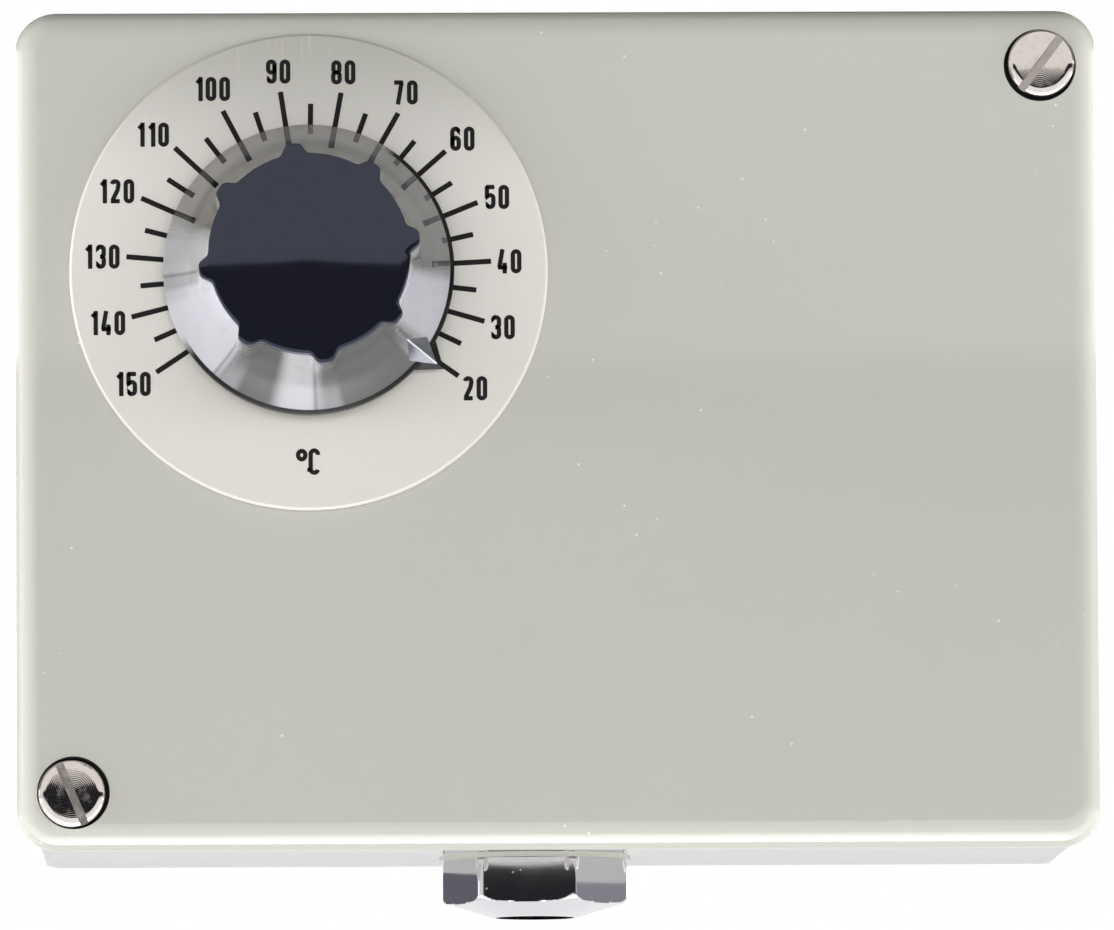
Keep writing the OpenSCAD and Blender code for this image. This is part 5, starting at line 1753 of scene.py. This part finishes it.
SIDE_AND_LOWER_LAMPS = (
    Lamp("left_softbox", (-1.3, 0.09, 0.05), (0.0, 0.0, 0.0), 1.0, 0.9, 8.2),
    Lamp("right_softbox", (1.3, 0.15, 0.05), (0.0, 0.0, 0.0), 1.0, 0.9, 8.3),
    Lamp("under_strip", (0.0, -0.098, -0.157), (0.0, -0.098, 0.0), 0.7, 0.13, 1.5, LampUse.BOTH),
    Lamp("floor_glow", (0.0, -0.55, -0.157), (0.0, -0.55, 0.0), 1.3, 0.7, 0.36),
    Lamp("edge_strip", (0.0, -0.095, -0.158), (0.0, -0.095, 0.0), 0.7, 0.12, 5.8, LampUse.GLOSS, 80.0),
)


@dataclass(frozen=True)
class DarkZone:
    """A dark part of the room that reflections show: its direction, how wide it is, and its tone."""

    ahead: float
    aside: float
    edge: tuple[float, float]
    tone: Rgb

    def share(self, x: Wire, y: Wire) -> Wire:
        """A smooth step of the way's part along the zone's direction."""
        return (y * self.ahead + x * self.aside).step(*self.edge)


@dataclass
class Studio:
    """Camera, lamps, floor and surroundings."""

    camera_place: tuple[float, float, float] = (-36.309, -1559.008, -109.84)
    yaw: float = 1.376
    pitch: float = 4.762
    roll: float = -0.326
    lens: float = 407.8
    floor_height: float = -160.0
    floor_half: float = 6000.0
    edge_elevation: float = 5.22
    front_reach: float = 2.3
    front_height: float = 0.72
    front_foot: float = 0.035
    front_width: float = 4.4
    front_radiance: float = 3.17
    ahead_tone: Rgb = (1.02, 1.0, 0.99)
    behind_tone: Rgb = (1.9, 1.9, 2.0)
    ceiling_tone: Rgb = (0.05, 0.05, 0.055)
    ceiling_edge: tuple[float, float] = (0.12, 0.22)
    dark_top: tuple[float, float] = (0.0908, 0.0919)
    middle_fill: Rgb = (0.92, 0.92, 0.92)
    side_fill: Rgb = (1.90, 1.90, 1.92)
    upper_fill: Rgb = (0.03, 0.03, 0.03)
    dark_zones: tuple[DarkZone, ...] = (
        DarkZone(0.669, -0.743, (0.90, 0.96), (0.17, 0.17, 0.20)),
        DarkZone(0.309, 0.951, (0.90, 0.96), (0.35, 0.35, 0.39)),
        DarkZone(-1.0, 0.35, (0.38, 0.68), (0.02, 0.02, 0.024)))

    def add_camera(self) -> None:
        """The photograph's camera: heading yaw to the right, pitch up, then roll about its view line."""
        heading, climb, roll = (math.radians(v) for v in (self.yaw, self.pitch, self.roll))
        forward = Vector((math.sin(heading) * math.cos(climb), math.cos(heading) * math.cos(climb),
                          math.sin(climb)))
        level = forward.cross(Vector((0.0, 0.0, 1.0))).normalized()
        upright = level.cross(forward)
        right = level * math.cos(roll) + upright * math.sin(roll)
        up = upright * math.cos(roll) - level * math.sin(roll)
        data = bpy.data.cameras.new("camera")
        data.lens = self.lens
        data.sensor_width = 36.0
        data.clip_start, data.clip_end = 0.05, 60.0
        made = bpy.data.objects.new("camera", data)
        turn = Matrix((right, up, -forward)).transposed().to_4x4()
        made.matrix_world = Matrix.Translation(Vector(self.camera_place) * MM) @ turn
        bpy.context.scene.collection.objects.link(made)
        bpy.context.scene.camera = made

    def add_floor(self) -> None:
        """A flat pale sheet of many faces under the object."""
        share = np.linspace(-1.0, 1.0, 41)
        x, y = np.meshgrid(share * self.floor_half, share * self.floor_half, indexing="ij")
        z = np.full_like(x, self.floor_height)
        index = np.arange(x.size).reshape(x.shape)
        faces = np.stack([index[:-1, :-1], index[1:, :-1], index[1:, 1:], index[:-1, 1:]], -1).reshape(-1, 4)
        mesh = bpy.data.meshes.new("floor")
        mesh.from_pydata((np.stack([x, y, z], -1).reshape(-1, 3) * MM).tolist(), [], faces.tolist())
        mesh.materials.append(PAPER.material())
        made = bpy.data.objects.new("floor", mesh)
        bpy.context.scene.collection.objects.link(made)

    def add_lamps(self) -> None:
        """A high front softbox with a straight lower edge, one at each side, and three lamps below."""
        rise = self.front_reach * math.tan(math.radians(self.edge_elevation))
        middle = self.front_foot + rise + self.front_height / 2
        front = Lamp("front_softbox", (0.0, -self.front_reach, middle), (0.0, 0.0, middle),
                     self.front_width, self.front_height, self.front_radiance)
        for lamp in (front, *SIDE_AND_LOWER_LAMPS):
            lamp.add()

    def add_surroundings(self) -> None:
        """White for the camera and through clear parts; a room for reflections; soft fill for the rest."""
        world = bpy.data.worlds.new("studio")
        bpy.context.scene.world = world
        world.use_nodes = True
        sheet = NodeSheet(world.node_tree)
        x, y, z = sheet.split(sheet.node("ShaderNodeTexCoord", {}, {}, "Generated"))
        seen, glossy = sheet.ray_kinds()
        low = 1.0 - z.step(*self.dark_top)
        behind = y.step(-0.1, 0.1)
        room = sheet.blend(self.ahead_tone, self.behind_tone, behind)
        room = sheet.blend(room, self.ceiling_tone, behind * z.step(*self.ceiling_edge))
        for zone in self.dark_zones:
            room = sheet.blend(room, zone.tone, zone.share(x, y) * low)
        fill = sheet.blend(self.middle_fill, self.side_fill, (x * x).step(0.15, 0.8))
        fill = sheet.blend(fill, self.upper_fill, z.step(0.0, 0.45))
        shown = sheet.blend(fill, room, glossy)
        shown = sheet.blend(shown, (1.0, 1.0, 1.0), seen)
        back = sheet.node("ShaderNodeBackground", {}, {"Color": shown, "Strength": 1.0})
        sheet.node("ShaderNodeOutputWorld", {}, {"Surface": back})

    def build(self) -> None:
        """Sets up the whole studio."""
        self.add_camera()
        self.add_floor()
        self.add_lamps()
        self.add_surroundings()
        bpy.context.scene.view_settings.view_transform = "Standard"


# ------------------------------------------------------------------ everything together


def dress_cad_nodes() -> None:
    """Gives every CAD node the finish of its slot in the record; other classes dress some again."""
    for part in frame["record"]["subparts"]:
        dress(part["node"], CAD_FINISHES[part["material_slot"]])


def main() -> None:
    """Builds the pieces in order."""
    logging.basicConfig(level=logging.INFO, format="%(name)s: %(message)s")
    dress_cad_nodes()
    Dial().build()
    CoverScrews().build()
    SettingKnob().build()
    CableGland().build()
    Pocket().build()
    RangeSpring().build()
    Studio().build()


if __name__ == "__main__":
    main()
